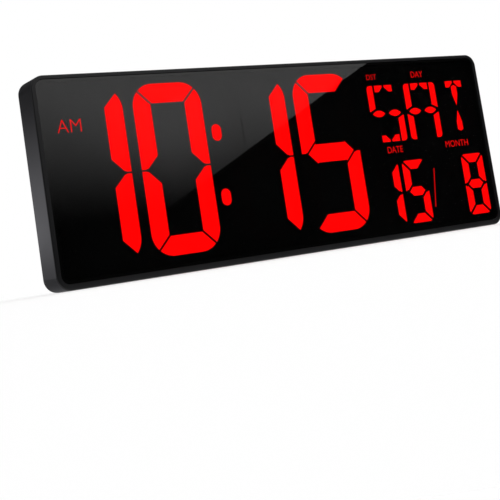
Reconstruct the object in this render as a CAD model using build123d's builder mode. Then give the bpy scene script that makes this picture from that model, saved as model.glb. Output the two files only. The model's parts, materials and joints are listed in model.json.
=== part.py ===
from build123d import *
import os
from math import cos, radians, sin, sqrt

# Digital wall clock: a deep black case with a smoked panel over large red figures.
# X runs to the right of the face, Y runs from the face to the wall, Z runs up.
# The origin is on the surface the clock stands on, under the middle of the case.

# Case
CASE_WIDTH = 420.0
CASE_HEIGHT = 151.5
CASE_DEPTH = 25.0
CASE_CORNER = 10.0
CASE_WALL = 2.4
RIM_WIDTH = 3.6
INNER_CORNER = 2.0
FRONT_EDGE_ROUND = 1.0
BACK_EDGE_ROUND = 0.6

# How far a cut runs past the face it leaves
OVERRUN = 1.0

# Panel, tape and mask film in the front recess, which lies above the middle of the case
PANEL_RAISE = 0.9
LENS_SUNK = 0.5
LENS_THICKNESS = 2.0
LENS_GAP = 0.15
LENS_EDGE_BEVEL = 0.25
LEDGE_WIDTH = 3.4
LEDGE_THICKNESS = 1.6
TAPE_INSET = 0.3
TAPE_WIDTH = 2.6
TAPE_THICKNESS = 0.3
FILM_GAP = 0.05
PANEL_GAP = 0.02

# Large figures of the time: sizes and places as shares of the display window
FIGURE_WIDTH_SHARE = 0.1431
FIGURE_HEIGHT_SHARE = 0.935
FIGURE_STROKE = 14.7
FIGURE_CORNER = 17.5
FIGURE_SPACE = 8.3
HOUR_X_SHARE = -0.2546
MINUTE_X_SHARE = 0.0974
FIGURE_Z_SHARE = 0.0131
SEGMENT_GAP = 1.4
SMALL_SEGMENT_GAP = 1.9
COLON_X_SHARE = -0.1596
COLON_Z_SHARE = 0.0051
COLON_SPACING_SHARE = 0.3623
COLON_WIDTH = 8.5
COLON_HEIGHT = 12.8

# Weekday letters
LETTER_WIDTH_SHARE = 0.0868
LETTER_HEIGHT_SHARE = 0.3506
LETTER_SPACE = 4.3
LETTER_X_SHARE = 0.352
LETTER_Z_SHARE = 0.2162
LETTER_CORNER = 3.2
PETAL_ROOF = 1.5

# Small figures of the date
DATE_WIDTH_SHARE = 0.0614
DATE_HEIGHT_SHARE = 0.3857
DATE_STROKE = 7.45
DATE_CORNER = 4.5
DATE_SPACE = 4.2
DATE_X_SHARE = 0.3014
MONTH_X_SHARE = 0.4662
DATE_Z_SHARE = -0.2783
SLASH_X_SHARE = 0.349
SLASH_Z_SHARE = -0.2703
SLASH_LENGTH_SHARE = 0.241
SLASH_WIDTH = 1.1
SLASH_LEAN = 8.9

# Shares of a character's own size that shape its segments
TIP_SHARE = 0.36
LETTER_STROKE_SHARE = 0.18
LETTER_BAR_SHARE = 0.115
LEAF_END_SHARE = 0.4
PETAL_WIDTH_SHARE = 0.177
SLANT_SHARE = 0.6
PETAL_WAIST_SHARE = 0.55
BAR_FLAT_SHARE = 0.5
BAR_END_SHARE = 0.3
DIAGONAL_FOOT_SHARE = 0.25

# Light box: the well plate behind the film, its inserts and the board
LIGHT_BOX_DEPTH = 9.2
LIGHT_BOX_PLATE = 1.4
LIGHT_BOX_GAP = 0.3
WELL_WALL = 1.0
SKIRT_WALL = 1.6
INSERT_DEPTH = 1.5
BOARD_THICKNESS = 1.6
BOARD_SCREW_RADIUS = 1.3
BOARD_HEAD_RADIUS = 2.4
BOARD_HEAD_HEIGHT = 1.6
BOARD_SCREW_REACH = 5.0
BOARD_POST_RADIUS = 3.0
SCREW_FIT = 0.05
LED_WIDTH = 0.8
LED_LENGTH = 1.6
LED_HEIGHT = 0.7
LEDS_PER_BIG_SEGMENT = 3

# Screw bosses that hold the rear cover
BOSS_INSET = 6.0
BOSS_END_INSET = 20.0
BOSS_RADIUS = 3.8
BOSS_GAP = 0.4
CASE_SCREW_RADIUS = 1.3
CASE_SCREW_REACH = 9.0
CASE_HEAD_RADIUS = 2.5
CASE_HEAD_HEIGHT = 1.0
CASE_HEAD_GAP = 0.2
CROSS_LENGTH_SHARE = 1.3
CROSS_WIDTH_SHARE = 0.3
CROSS_DEPTH_SHARE = 0.6

# Rear cover
COVER_THICKNESS = 2.2
COVER_GAP = 0.2
PRESS_POST_RADIUS = 2.5
PRESS_POST_Z = -15.0
PRESS_POST_LOW_X = 25.0
PRESS_POST_LOW_RISE = 20.75
VENT_LENGTH = 20.0
VENT_WIDTH = 2.0
VENT_PITCH = 7.0
VENT_COUNT = 7
VENT_Z = 14.0

# Keyholes for two wall screws
KEYHOLE_SPACING_SHARE = 0.5
KEYHOLE_DROP = 39.75
KEYHOLE_ENTRY_RADIUS = 4.2
KEYHOLE_SLOT_WIDTH = 4.4
KEYHOLE_TRAVEL = 8.0
POCKET_MARGIN = 1.6
POCKET_DEPTH = 5.0
POCKET_WALL = 1.4

# Fold-out legs, stored flush in the cover
LEG_INSET = 60.0
LEG_HINGE_DROP = 27.5
LEG_FOOT_HEIGHT = 4.0
LEG_WIDTH = 14.0
LEG_THICKNESS = 5.0
LEG_SUNK = 0.3
LEG_GAP = 0.4
LEG_HEEL = 3.5
LEG_OPEN_ANGLE = 20.0
LEG_STOP_GAP = 0.05
LEG_EDGE_ROUND = 0.5
LEG_TIP_LENGTH = 8.0
LEG_TONGUE_LENGTH = 4.0
LEG_TONGUE_WIDTH = 9.0
LEG_TONGUE_THICKNESS = 2.4
LEG_GROOVE_WIDTH = 1.6
LEG_GROOVE_PITCH = 3.2
LEG_GROOVE_COUNT = 3
LEG_GROOVE_DEPTH = 0.7
LEG_GROOVE_HEIGHT = 20.0
TUB_FLOOR = 1.4
TUB_SIDE = 2.4
HINGE_PIN_RADIUS = 1.25
HINGE_PIN_SEAT = 0.02
HINGE_RUNNING_GAP = 0.06

# Push buttons and their switch board
BUTTON_NAMES = ("set", "alarm", "up", "down", "light")
BUTTON_PITCH = 18.0
BUTTON_DROP = 23.75
BUTTON_RADIUS = 4.0
BUTTON_GAP = 0.3
BUTTON_SUNK = 0.4
BUTTON_ROUND = 0.5
BUTTON_FLANGE_RADIUS = 5.2
BUTTON_FLANGE_THICKNESS = 1.2
BUTTON_FLANGE_GAP = 0.2
BUTTON_STEM_RADIUS = 2.4
BUTTON_STEM_LENGTH = 0.7
PLUNGER_RADIUS = 1.7
PLUNGER_LENGTH = 2.6
PLUNGER_GAP = 0.3
SWITCH_WIDTH = 6.0
SWITCH_HEIGHT = 3.4
SWITCH_FLOOR = 0.8
KEY_BOARD_THICKNESS = 1.2
KEY_BOARD_END = 14.0
KEY_BOARD_HEIGHT = 14.0
KEY_POST_RADIUS = 2.6
KEY_POST_INSET = 4.0
KEY_SCREW_RADIUS = 1.0
KEY_SCREW_REACH = 4.0
KEY_HEAD_RADIUS = 2.0
KEY_HEAD_HEIGHT = 1.0
LINK_LENGTH = 12.7
LINK_WIDTH = 2.5

# Coin cell bay with its twist cap
CELL_X_SHARE = 0.1381
CELL_Z = -20.0
CELL_RADIUS = 10.0
CELL_THICKNESS = 3.2
CELL_BEVEL = 0.4
CELL_GAP = 0.3
BAY_WALL = 1.6
BAY_FLOOR = 1.2
CAP_RADIUS = 13.0
CAP_THICKNESS = 1.8
CAP_SUNK = 0.3
CAP_GAP = 0.3
CAP_SKIRT_WALL = 1.6
CAP_LUG_REACH = 2.2
CAP_LUG_WIDTH = 9.0
CAP_LUG_THICKNESS = 1.3
CAP_TURN = 60.0
COIN_SLOT_LENGTH = 17.0
COIN_SLOT_WIDTH = 2.2
COIN_SLOT_DEPTH = 1.0
CONTACT_DISC_RADIUS = 5.0
CONTACT_SHEET = 0.3
CONTACT_PIN_RADIUS = 0.8
CONTACT_SIDE_WIDTH = 4.0
CONTACT_SIDE_SHEET = 0.25
CONTACT_SIDE_PLAY = 0.02
CONTACT_HOLE_GAP = 0.2

# Speaker behind its grille
SPEAKER_X_SHARE = -0.1381
SPEAKER_Z = -20.0
SPEAKER_RADIUS = 14.0
SPEAKER_DEPTH = 3.2
SPEAKER_BASE = 0.7
SPEAKER_CONE_RADIUS = 11.0
SPEAKER_CONE_NECK = 4.0
SPEAKER_CONE_SHEET = 0.5
SPEAKER_CONE_SUNK = 0.5
SPEAKER_MAGNET_RADIUS = 8.0
SPEAKER_MAGNET_DEPTH = 2.4
SPEAKER_RING_GAP = 0.2
SPEAKER_RING_WALL = 1.2
SPEAKER_RING_HEIGHT = 2.4
GRILLE_HOLE_RADIUS = 0.9
GRILLE_RING_PITCH = 3.2
GRILLE_RINGS = 3
SPEAKER_LEAF_WIDTH = 3.0
SPEAKER_LEAF_SHEET = 0.4

# Parts on the back of the board
CHIP_X = 0.0
CHIP_Z = -22.0
CHIP_SIDE = 10.0
CHIP_HEIGHT = 1.4
DRIVER_X_SHARE = 0.2143
DRIVER_RISE = 17.75
DRIVER_LENGTH = 18.0
DRIVER_WIDTH = 7.5
DRIVER_HEIGHT = 2.3
CRYSTAL_Z = -36.0
CRYSTAL_LENGTH = 11.0
CRYSTAL_WIDTH = 4.6
CRYSTAL_HEIGHT = 3.5
CAPACITOR_INSET = 30.0
CAPACITOR_Z = -18.0
CAPACITOR_SPACING = 12.0
CAPACITOR_RADIUS = 3.2
CAPACITOR_HEIGHT = 6.5
CAPACITOR_ROUND = 0.4
REGULATOR_Z = 8.0
REGULATOR_LENGTH = 6.6
REGULATOR_WIDTH = 6.1
REGULATOR_HEIGHT = 2.3
THERMISTOR_INSET = 20.0
THERMISTOR_RISE = 17.75
THERMISTOR_RADIUS = 1.6
THERMISTOR_HEIGHT = 3.0

# Sensors on the front of the board, behind the smoked panel
SENSOR_RISE = 25.75
RECEIVER_INSET = 24.0
RECEIVER_WIDTH = 6.0
RECEIVER_HEIGHT = 7.0
RECEIVER_DEPTH = 3.6
RECEIVER_LENS_RADIUS = 2.4
RECEIVER_LENS_DEPTH = 1.4
LIGHT_SENSOR_INSET = 38.0
LIGHT_SENSOR_RADIUS = 1.5
LIGHT_SENSOR_DEPTH = 4.0
LIGHT_SENSOR_ROUND = 1.0
SENSOR_GAP = 1.0

# Power inlet in the right side wall
JACK_RISE = 30.75
JACK_LENGTH = 10.0
JACK_WIDTH = 6.4
JACK_HEIGHT = 6.6
JACK_BORE_RADIUS = 2.0
JACK_BORE_DEPTH = 8.0
JACK_PIN_RADIUS = 0.65
JACK_PIN_SHORT = 1.0
JACK_HOLE_RADIUS = 3.0
JACK_WALL_GAP = 0.1

# Depths behind the front of the rim
LENS_BACK = LENS_SUNK + LENS_THICKNESS
FILM_BACK = LENS_BACK + TAPE_THICKNESS
LEDGE_BACK = FILM_BACK + LEDGE_THICKNESS
INSERT_BACK = FILM_BACK + INSERT_DEPTH
PLATE_BACK = LEDGE_BACK + LIGHT_BOX_PLATE
BOARD_FRONT = FILM_BACK + LIGHT_BOX_DEPTH
BOARD_BACK = BOARD_FRONT + BOARD_THICKNESS
COVER_FRONT = CASE_DEPTH - COVER_THICKNESS

# Insets from the case outline
LENS_INSET = RIM_WIDTH + LENS_GAP
LEDGE_INSET = RIM_WIDTH + LEDGE_WIDTH
TAPE_OUTER_INSET = RIM_WIDTH + TAPE_INSET
TAPE_INNER_INSET = TAPE_OUTER_INSET + TAPE_WIDTH
FILM_INSET = TAPE_INNER_INSET + FILM_GAP
WELL_PLATE_INSET = LEDGE_INSET + LIGHT_BOX_GAP
BOARD_INSET = CASE_WALL + LIGHT_BOX_GAP
COVER_INSET = CASE_WALL + COVER_GAP

# Display sizes and places, from the centre of the face
WINDOW_WIDTH = CASE_WIDTH - 2 * WELL_PLATE_INSET
WINDOW_HEIGHT = CASE_HEIGHT - 2 * WELL_PLATE_INSET
FIGURE_WIDTH = WINDOW_WIDTH * FIGURE_WIDTH_SHARE
FIGURE_HEIGHT = WINDOW_HEIGHT * FIGURE_HEIGHT_SHARE
FIGURE_PITCH = FIGURE_WIDTH + FIGURE_SPACE
HOUR_X = WINDOW_WIDTH * HOUR_X_SHARE
MINUTE_X = WINDOW_WIDTH * MINUTE_X_SHARE
FIGURE_Z = WINDOW_HEIGHT * FIGURE_Z_SHARE
COLON_X = WINDOW_WIDTH * COLON_X_SHARE
COLON_Z = WINDOW_HEIGHT * COLON_Z_SHARE
COLON_SPACING = WINDOW_HEIGHT * COLON_SPACING_SHARE
LETTER_WIDTH = WINDOW_WIDTH * LETTER_WIDTH_SHARE
LETTER_HEIGHT = WINDOW_HEIGHT * LETTER_HEIGHT_SHARE
LETTER_STROKE = LETTER_WIDTH * LETTER_STROKE_SHARE
LETTER_BAR = LETTER_HEIGHT * LETTER_BAR_SHARE
LETTER_PITCH = LETTER_WIDTH + LETTER_SPACE
LETTER_X = WINDOW_WIDTH * LETTER_X_SHARE
LETTER_Z = WINDOW_HEIGHT * LETTER_Z_SHARE
DATE_WIDTH = WINDOW_WIDTH * DATE_WIDTH_SHARE
DATE_HEIGHT = WINDOW_HEIGHT * DATE_HEIGHT_SHARE
DATE_PITCH = DATE_WIDTH + DATE_SPACE
DATE_X = WINDOW_WIDTH * DATE_X_SHARE
MONTH_X = WINDOW_WIDTH * MONTH_X_SHARE
DATE_Z = WINDOW_HEIGHT * DATE_Z_SHARE
SLASH_X = WINDOW_WIDTH * SLASH_X_SHARE
SLASH_Z = WINDOW_HEIGHT * SLASH_Z_SHARE
SLASH_LENGTH = WINDOW_HEIGHT * SLASH_LENGTH_SHARE

# Places on the boards and the cover, from the centre of the face
LEG_X = CASE_WIDTH / 2 - LEG_INSET
LEG_HINGE_HEIGHT = CASE_HEIGHT - LEG_HINGE_DROP
KEYHOLE_X = CASE_WIDTH * KEYHOLE_SPACING_SHARE / 2
KEYHOLE_Z = CASE_HEIGHT / 2 - KEYHOLE_DROP
BUTTON_Z = CASE_HEIGHT / 2 - BUTTON_DROP
PRESS_POST_LOW_Z = PRESS_POST_LOW_RISE - CASE_HEIGHT / 2
CELL_X = CASE_WIDTH * CELL_X_SHARE
SPEAKER_X = CASE_WIDTH * SPEAKER_X_SHARE
DRIVER_X = CASE_WIDTH * DRIVER_X_SHARE
DRIVER_Z = DRIVER_RISE - CASE_HEIGHT / 2
CAPACITOR_X = CASE_WIDTH / 2 - CAPACITOR_INSET
THERMISTOR_X = THERMISTOR_INSET - CASE_WIDTH / 2
THERMISTOR_Z = THERMISTOR_RISE - CASE_HEIGHT / 2
SENSOR_Z = SENSOR_RISE - CASE_HEIGHT / 2
RECEIVER_X = RECEIVER_INSET - CASE_WIDTH / 2
LIGHT_SENSOR_X = LIGHT_SENSOR_INSET - CASE_WIDTH / 2
JACK_Z = JACK_RISE - CASE_HEIGHT / 2

# Boss places, in line with the clear lanes of the display
BOSS_TOP_Z = CASE_HEIGHT / 2 - BOSS_INSET
BOSS_END_X = CASE_WIDTH / 2 - BOSS_END_INSET
DATE_LANE_X = MINUTE_X + FIGURE_WIDTH / 2 + FIGURE_SPACE / 2
BOSS_ROW = (-BOSS_END_X, COLON_X, DATE_LANE_X, BOSS_END_X)
BOSS_POINTS = [(x, z) for x in BOSS_ROW for z in (-BOSS_TOP_Z, BOSS_TOP_Z)]

# Board screw places, in the clear between the figures
BOARD_SCREW_POINTS = [
    (RECEIVER_X, FIGURE_Z),
    (HOUR_X - FIGURE_PITCH / 2, FIGURE_Z),
    (COLON_X, COLON_Z),
    (MINUTE_X - FIGURE_PITCH / 2, FIGURE_Z),
    (DATE_LANE_X, BOSS_TOP_Z / 2),
    (DATE_LANE_X, -BOSS_TOP_Z / 2),
]

# Leg places and the recess that holds each leg
LEG_SIDES = (("left", -LEG_X), ("right", LEG_X))
LEG_HINGE_Z = LEG_HINGE_HEIGHT - CASE_HEIGHT / 2
LEG_FOOT_Z = LEG_FOOT_HEIGHT - CASE_HEIGHT / 2
LEG_BARREL = LEG_THICKNESS / 2
LEG_AXIS_DEPTH = CASE_DEPTH - LEG_SUNK - LEG_BARREL
# The heel above the hinge meets the recess floor when the leg is open
HEEL_REACH = LEG_BARREL * cos(radians(LEG_OPEN_ANGLE)) + LEG_HEEL * sin(radians(LEG_OPEN_ANGLE))
RECESS_DEPTH = LEG_SUNK + LEG_BARREL + HEEL_REACH + LEG_STOP_GAP
RECESS_WIDTH = LEG_WIDTH + 2 * LEG_GAP
RECESS_TOP_Z = LEG_HINGE_Z + LEG_HEEL + LEG_BARREL * sin(radians(LEG_OPEN_ANGLE)) + LEG_GAP
RECESS_FOOT_Z = LEG_FOOT_Z - LEG_GAP
TUB_WIDTH = RECESS_WIDTH + 2 * TUB_SIDE
TUB_FOOT_Z = COVER_INSET - CASE_HEIGHT / 2
TUB_TOP_Z = RECESS_TOP_Z + TUB_SIDE

# Button stack depths, from the outer face inwards
BUTTON_OUTER = CASE_DEPTH - BUTTON_SUNK
FLANGE_BACK = COVER_FRONT - BUTTON_FLANGE_GAP
FLANGE_FRONT = FLANGE_BACK - BUTTON_FLANGE_THICKNESS
STEM_FRONT = FLANGE_FRONT - BUTTON_STEM_LENGTH
LINK_BACK = BOARD_BACK + KEY_HEAD_HEIGHT + BUTTON_GAP
KEY_BOARD_BACK = LINK_BACK + KEY_BOARD_THICKNESS
SWITCH_BACK = KEY_BOARD_BACK + SWITCH_HEIGHT
BUTTON_FIRST_X = -BUTTON_PITCH * (len(BUTTON_NAMES) - 1) / 2
BUTTON_POINTS = [(BUTTON_FIRST_X + i * BUTTON_PITCH, BUTTON_Z) for i in range(len(BUTTON_NAMES))]
KEY_BOARD_WIDTH = BUTTON_PITCH * (len(BUTTON_NAMES) - 1) + 2 * KEY_BOARD_END
KEY_POST_X = KEY_BOARD_WIDTH / 2 - KEY_POST_INSET
KEY_POST_POINTS = [(-KEY_POST_X, BUTTON_Z), (KEY_POST_X, BUTTON_Z)]

# Coin cell stack depths, from the cap inwards
CAP_BACK = CASE_DEPTH - CAP_SUNK
CAP_FRONT = CAP_BACK - CAP_THICKNESS
LUG_BACK = COVER_FRONT - CAP_GAP
LUG_FRONT = LUG_BACK - CAP_LUG_THICKNESS
BAY_SHELF = LUG_FRONT - CAP_GAP
CELL_BACK = BAY_SHELF
CELL_FRONT = CELL_BACK - CELL_THICKNESS
BAY_BOTTOM = CELL_FRONT - CONTACT_SHEET
CELL_BAY_RADIUS = CELL_RADIUS + CELL_GAP
LUG_RADIUS = CAP_RADIUS + CAP_LUG_REACH
LUG_BAY_RADIUS = LUG_RADIUS + CAP_GAP

# Speaker stack depths, from the cover inwards
SPEAKER_FRONT = COVER_FRONT - SPEAKER_DEPTH
JACK_DEPTH = BOARD_BACK + JACK_HEIGHT / 2
JACK_FACE_X = CASE_WIDTH / 2 - CASE_WALL - JACK_WALL_GAP

os.makedirs("parts", exist_ok=True)


def face_plane(depth):
    """Drawing plane at a depth behind the rim, centred on the face and seen from the front."""
    return Plane(
        origin=(0, depth - CASE_DEPTH / 2, CASE_HEIGHT / 2),
        x_dir=(1, 0, 0),
        z_dir=(0, -1, 0),
    )


def case_outline(inset, mode=Mode.ADD):
    """Rounded outline of the case, drawn in by an inset."""
    RectangleRounded(
        CASE_WIDTH - 2 * inset,
        CASE_HEIGHT - 2 * inset,
        max(CASE_CORNER - inset, INNER_CORNER),
        mode=mode,
    )


def panel_outline(inset, mode=Mode.ADD):
    """Outline of the panel recess and what lies in it, raised from the middle of the case."""
    with Locations((0, PANEL_RAISE)):
        case_outline(inset, mode)


def save(piece, name):
    """Label a finished piece and write its file."""
    piece.part.label = name
    export_step(piece.part, f"parts/{name}.step")


def nearest_face(faces, spot):
    """The face whose middle is nearest to a spot."""
    return min(faces, key=lambda face: (face.center(CenterOf.MASS) - Vector(*spot)).length)


def seven_segments(width, height, stroke, corner, gap):
    """The seven segment faces of one figure: a rounded eight cut apart by mitred gaps."""
    tip = stroke * TIP_SHARE
    loop_height = (height - 3 * stroke) / 2
    loop_z = (loop_height + stroke) / 2
    with BuildSketch() as figure:
        RectangleRounded(width, height, corner)
        with Locations((0, loop_z), (0, -loop_z)):
            Rectangle(width - 2 * stroke, loop_height, mode=Mode.SUBTRACT)
        for side in (-1, 1):
            with Locations((side * (width - tip) / 2, 0)):
                Rectangle(tip, gap, mode=Mode.SUBTRACT)
            for half in (-1, 1):
                with Locations((side * (width - stroke) / 2, half * (height - stroke) / 2)):
                    Rectangle(2 * stroke, gap, rotation=45 * side * half, mode=Mode.SUBTRACT)
                diagonal = (stroke - tip) * sqrt(2) + 2 * gap
                with Locations((side * (width - tip - stroke) / 2, half * (stroke - tip) / 2)):
                    Rectangle(diagonal, gap, rotation=-45 * side * half, mode=Mode.SUBTRACT)
    across = (width - stroke) / 2
    along = (height - stroke) / 2
    spots = {
        "top": (0, along),
        "upper_right": (across, along / 2),
        "lower_right": (across, -along / 2),
        "bottom": (0, -along),
        "lower_left": (-across, -along / 2),
        "upper_left": (-across, along / 2),
        "middle": (0, 0),
    }
    return {name: nearest_face(figure.faces(), spot) for name, spot in spots.items()}


def letter_segments(width, height, stroke, bar, gap):
    """The sixteen segment faces of one letter, from one drawn quarter mirrored twice."""
    left = -width / 2
    top = height / 2
    inner = left + stroke
    petal = width * PETAL_WIDTH_SHARE / 2
    bar_left = inner + gap
    bar_right = -gap / 2
    bar_turn = bar_left + (bar_right - bar_left) * BAR_FLAT_SHARE
    petal_top = top - bar + gap
    petal_foot = gap
    waist = petal_foot + (petal_top - petal_foot) * PETAL_WAIST_SHARE
    leaf_left = left + stroke * LEAF_END_SHARE
    leaf_right = -gap
    leaf_middle = (leaf_left + leaf_right) / 2
    slant_top = top - bar - gap
    slant_foot = slant_top * DIAGONAL_FOOT_SHARE + bar / 2
    slant_right = -petal - gap
    slant_width = (slant_right - bar_left) * SLANT_SHARE
    with BuildSketch() as letter:
        with BuildLine():
            Polyline(
                (left, top - LETTER_CORNER),
                (left, gap),
                (inner, bar / 2 + gap),
                (inner, top),
                (left + LETTER_CORNER, top),
            )
            RadiusArc((left + LETTER_CORNER, top), (left, top - LETTER_CORNER), -LETTER_CORNER)
        make_face()
        Polygon(
            (bar_left, top),
            (bar_left, top - bar),
            (bar_turn, top - bar),
            (bar_right, top - bar * BAR_END_SHARE),
            (bar_right, top),
            align=None,
        )
        Polygon(
            (0, petal_top),
            (-petal, petal_top - PETAL_ROOF),
            (-petal, waist),
            (0, petal_foot),
            align=None,
        )
        with BuildLine():
            ThreePointArc((leaf_left, 0), (leaf_middle, bar / 2), (leaf_right, 0))
            Line((leaf_right, 0), (leaf_left, 0))
        make_face()
        Polygon(
            (bar_left, slant_top),
            (bar_left, slant_top - slant_width),
            (slant_right - slant_width, slant_foot),
            (slant_right, slant_foot),
            (slant_right, slant_foot + slant_width),
            (bar_left + slant_width, slant_top),
            align=None,
        )
        mirror(about=Plane.YZ)
        mirror(about=Plane.XZ)
    across = (width - stroke) / 2
    bar_x = (bar_left + bar_right) / 2
    bar_z = top - bar / 2
    slant_x = (bar_left + slant_right) / 2
    slant_z = (slant_top + slant_foot) / 2
    quarters = {
        "side": (across, bar_z / 2),
        "bar": (-bar_x, bar_z),
        "slant": (-slant_x, slant_z),
    }
    spots = {
        "petal_upper": (0, bar_z / 2),
        "petal_lower": (0, -bar_z / 2),
        "leaf_left": (leaf_middle, 0),
        "leaf_right": (-leaf_middle, 0),
    }
    for name, (x, z) in quarters.items():
        spots[name + "_upper_left"] = (-x, z)
        spots[name + "_upper_right"] = (x, z)
        spots[name + "_lower_left"] = (-x, -z)
        spots[name + "_lower_right"] = (x, -z)
    return {name: nearest_face(letter.faces(), spot) for name, spot in spots.items()}


BIG = seven_segments(FIGURE_WIDTH, FIGURE_HEIGHT, FIGURE_STROKE, FIGURE_CORNER, SEGMENT_GAP)
SMALL = seven_segments(DATE_WIDTH, DATE_HEIGHT, DATE_STROKE, DATE_CORNER, SMALL_SEGMENT_GAP)
LETTER = letter_segments(LETTER_WIDTH, LETTER_HEIGHT, LETTER_STROKE, LETTER_BAR, SMALL_SEGMENT_GAP)

ONE = ("upper_right", "lower_right")
FIVE = ("top", "upper_left", "middle", "lower_right", "bottom")
ZERO = tuple(name for name in SMALL if name != "middle")
EIGHT = tuple(SMALL)
LETTER_ENDS = ("leaf_left", "leaf_right")
LETTER_TOP = ("bar_upper_left", "bar_upper_right")
LETTER_FOOT = ("bar_lower_left", "bar_lower_right")
LETTER_S = LETTER_TOP + LETTER_ENDS + LETTER_FOOT + ("side_upper_left", "side_lower_right")
LETTER_SIDES = ("side_upper_left", "side_upper_right", "side_lower_left", "side_lower_right")
LETTER_A = LETTER_TOP + LETTER_ENDS + LETTER_SIDES
LETTER_T = LETTER_TOP + ("petal_upper", "petal_lower")

with BuildSketch() as colon_dot:
    SlotOverall(COLON_HEIGHT, COLON_WIDTH, rotation=90)
with BuildSketch() as slash_line:
    Rectangle(SLASH_WIDTH, SLASH_LENGTH, rotation=-SLASH_LEAN)
DOT = {"dot": colon_dot.face()}
SLASH = {"line": slash_line.face()}

# Every character of the display: its group, its place, its segments and those that are lit
CHARACTERS = [
    ("hour", (HOUR_X - FIGURE_PITCH, FIGURE_Z), {name: BIG[name] for name in ONE}, ONE),
    ("hour", (HOUR_X, FIGURE_Z), BIG, ZERO),
    ("colon", (COLON_X, COLON_Z + COLON_SPACING / 2), DOT, ("dot",)),
    ("colon", (COLON_X, COLON_Z - COLON_SPACING / 2), DOT, ("dot",)),
    ("minute", (MINUTE_X - FIGURE_PITCH, FIGURE_Z), BIG, ONE),
    ("minute", (MINUTE_X, FIGURE_Z), BIG, FIVE),
    ("weekday", (LETTER_X - LETTER_PITCH, LETTER_Z), LETTER, LETTER_S),
    ("weekday", (LETTER_X, LETTER_Z), LETTER, LETTER_A),
    ("weekday", (LETTER_X + LETTER_PITCH, LETTER_Z), LETTER, LETTER_T),
    ("date", (DATE_X - DATE_PITCH, DATE_Z), SMALL, ONE),
    ("date", (DATE_X, DATE_Z), SMALL, FIVE),
    ("slash", (SLASH_X, SLASH_Z), SLASH, ("line",)),
    ("month", (MONTH_X - DATE_PITCH, DATE_Z), {name: SMALL[name] for name in ONE}, ()),
    ("month", (MONTH_X, DATE_Z), SMALL, EIGHT),
]


def add_segments(group=None, lit=None, mode=Mode.ADD):
    """Add the segments of one group, or of all, lit, unlit or both, to the open sketch."""
    for kind, place, faces, shown in CHARACTERS:
        if group not in (None, kind):
            continue
        chosen = [face for name, face in faces.items() if lit in (None, name in shown)]
        if chosen:
            with Locations(place):
                add(chosen, mode=mode)


def led_points():
    """A row of light points along the middle of every segment."""
    points = []
    for group, (x, z), faces, _ in CHARACTERS:
        count = LEDS_PER_BIG_SEGMENT if group in ("hour", "minute") else 1
        for face in faces.values():
            size = face.bounding_box().size
            middle = face.center(CenterOf.MASS)
            for i in range(count):
                share = (i - (count - 1) / 2) / count
                along_x = share * size.X if size.X > size.Y else 0
                along_z = 0 if size.X > size.Y else share * size.Y
                points.append((x + middle.X + along_x, z + middle.Y + along_z))
    return points


def round_screw(places, head_front, head_height, head_radius, shank_radius, reach):
    """Pan head screws driven from behind, each with a cross slot, as one group."""
    with BuildPart() as screws:
        with BuildSketch(face_plane(head_front + head_height)):
            with Locations(*places):
                Circle(head_radius)
        extrude(amount=head_height)
        with BuildSketch(face_plane(head_front)):
            with Locations(*places):
                Circle(shank_radius)
        extrude(amount=reach)
        with BuildSketch(face_plane(head_front + head_height)):
            with Locations(*places):
                Rectangle(head_radius * CROSS_LENGTH_SHARE, head_radius * CROSS_WIDTH_SHARE)
                Rectangle(head_radius * CROSS_WIDTH_SHARE, head_radius * CROSS_LENGTH_SHARE)
        extrude(amount=head_height * CROSS_DEPTH_SHARE, mode=Mode.SUBTRACT)
    return screws


# Front case: side walls, rim, panel recess, ledge, screw bosses and inlet hole
with BuildPart() as front_case:
    with BuildSketch(face_plane(CASE_DEPTH)):
        case_outline(0)
    extrude(amount=CASE_DEPTH)
    fillet(front_case.faces().sort_by(Axis.Y)[0].edges(), FRONT_EDGE_ROUND)
    fillet(front_case.faces().sort_by(Axis.Y)[-1].edges(), BACK_EDGE_ROUND)
    with BuildSketch(face_plane(FILM_BACK)):
        panel_outline(RIM_WIDTH)
    extrude(amount=FILM_BACK + OVERRUN, mode=Mode.SUBTRACT)
    with BuildSketch(face_plane(LEDGE_BACK)):
        case_outline(LEDGE_INSET)
    extrude(amount=LEDGE_BACK + OVERRUN, mode=Mode.SUBTRACT)
    with BuildSketch(face_plane(CASE_DEPTH + OVERRUN)):
        case_outline(CASE_WALL)
    extrude(amount=CASE_DEPTH + OVERRUN - LEDGE_BACK, mode=Mode.SUBTRACT)
    with BuildSketch(face_plane(COVER_FRONT)):
        with Locations(*BOSS_POINTS):
            Circle(BOSS_RADIUS)
    extrude(amount=COVER_FRONT - LEDGE_BACK)
    with BuildSketch(face_plane(COVER_FRONT)):
        with Locations(*BOSS_POINTS):
            Circle(CASE_SCREW_RADIUS + SCREW_FIT)
    extrude(amount=CASE_SCREW_REACH + OVERRUN, mode=Mode.SUBTRACT)
    with BuildSketch(Plane.YZ.offset(CASE_WIDTH / 2 + OVERRUN)):
        with Locations((JACK_DEPTH - CASE_DEPTH / 2, JACK_Z + CASE_HEIGHT / 2)):
            Circle(JACK_HOLE_RADIUS)
    extrude(amount=-CASE_WALL - 2 * OVERRUN, mode=Mode.SUBTRACT)
save(front_case, "front_case")

# Smoked panel, bevelled round its front edge
with BuildPart() as front_lens:
    with BuildSketch(face_plane(LENS_BACK)):
        panel_outline(LENS_INSET)
    extrude(amount=LENS_THICKNESS)
    chamfer(front_lens.faces().sort_by(Axis.Y)[0].edges(), LENS_EDGE_BEVEL)
save(front_lens, "front_lens")

# Double-sided tape that holds the panel to the ledge
with BuildPart() as lens_tape:
    with BuildSketch(face_plane(FILM_BACK)):
        panel_outline(TAPE_OUTER_INSET)
        panel_outline(TAPE_INNER_INSET, mode=Mode.SUBTRACT)
    extrude(amount=TAPE_THICKNESS - PANEL_GAP)
save(lens_tape, "lens_tape")

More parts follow.
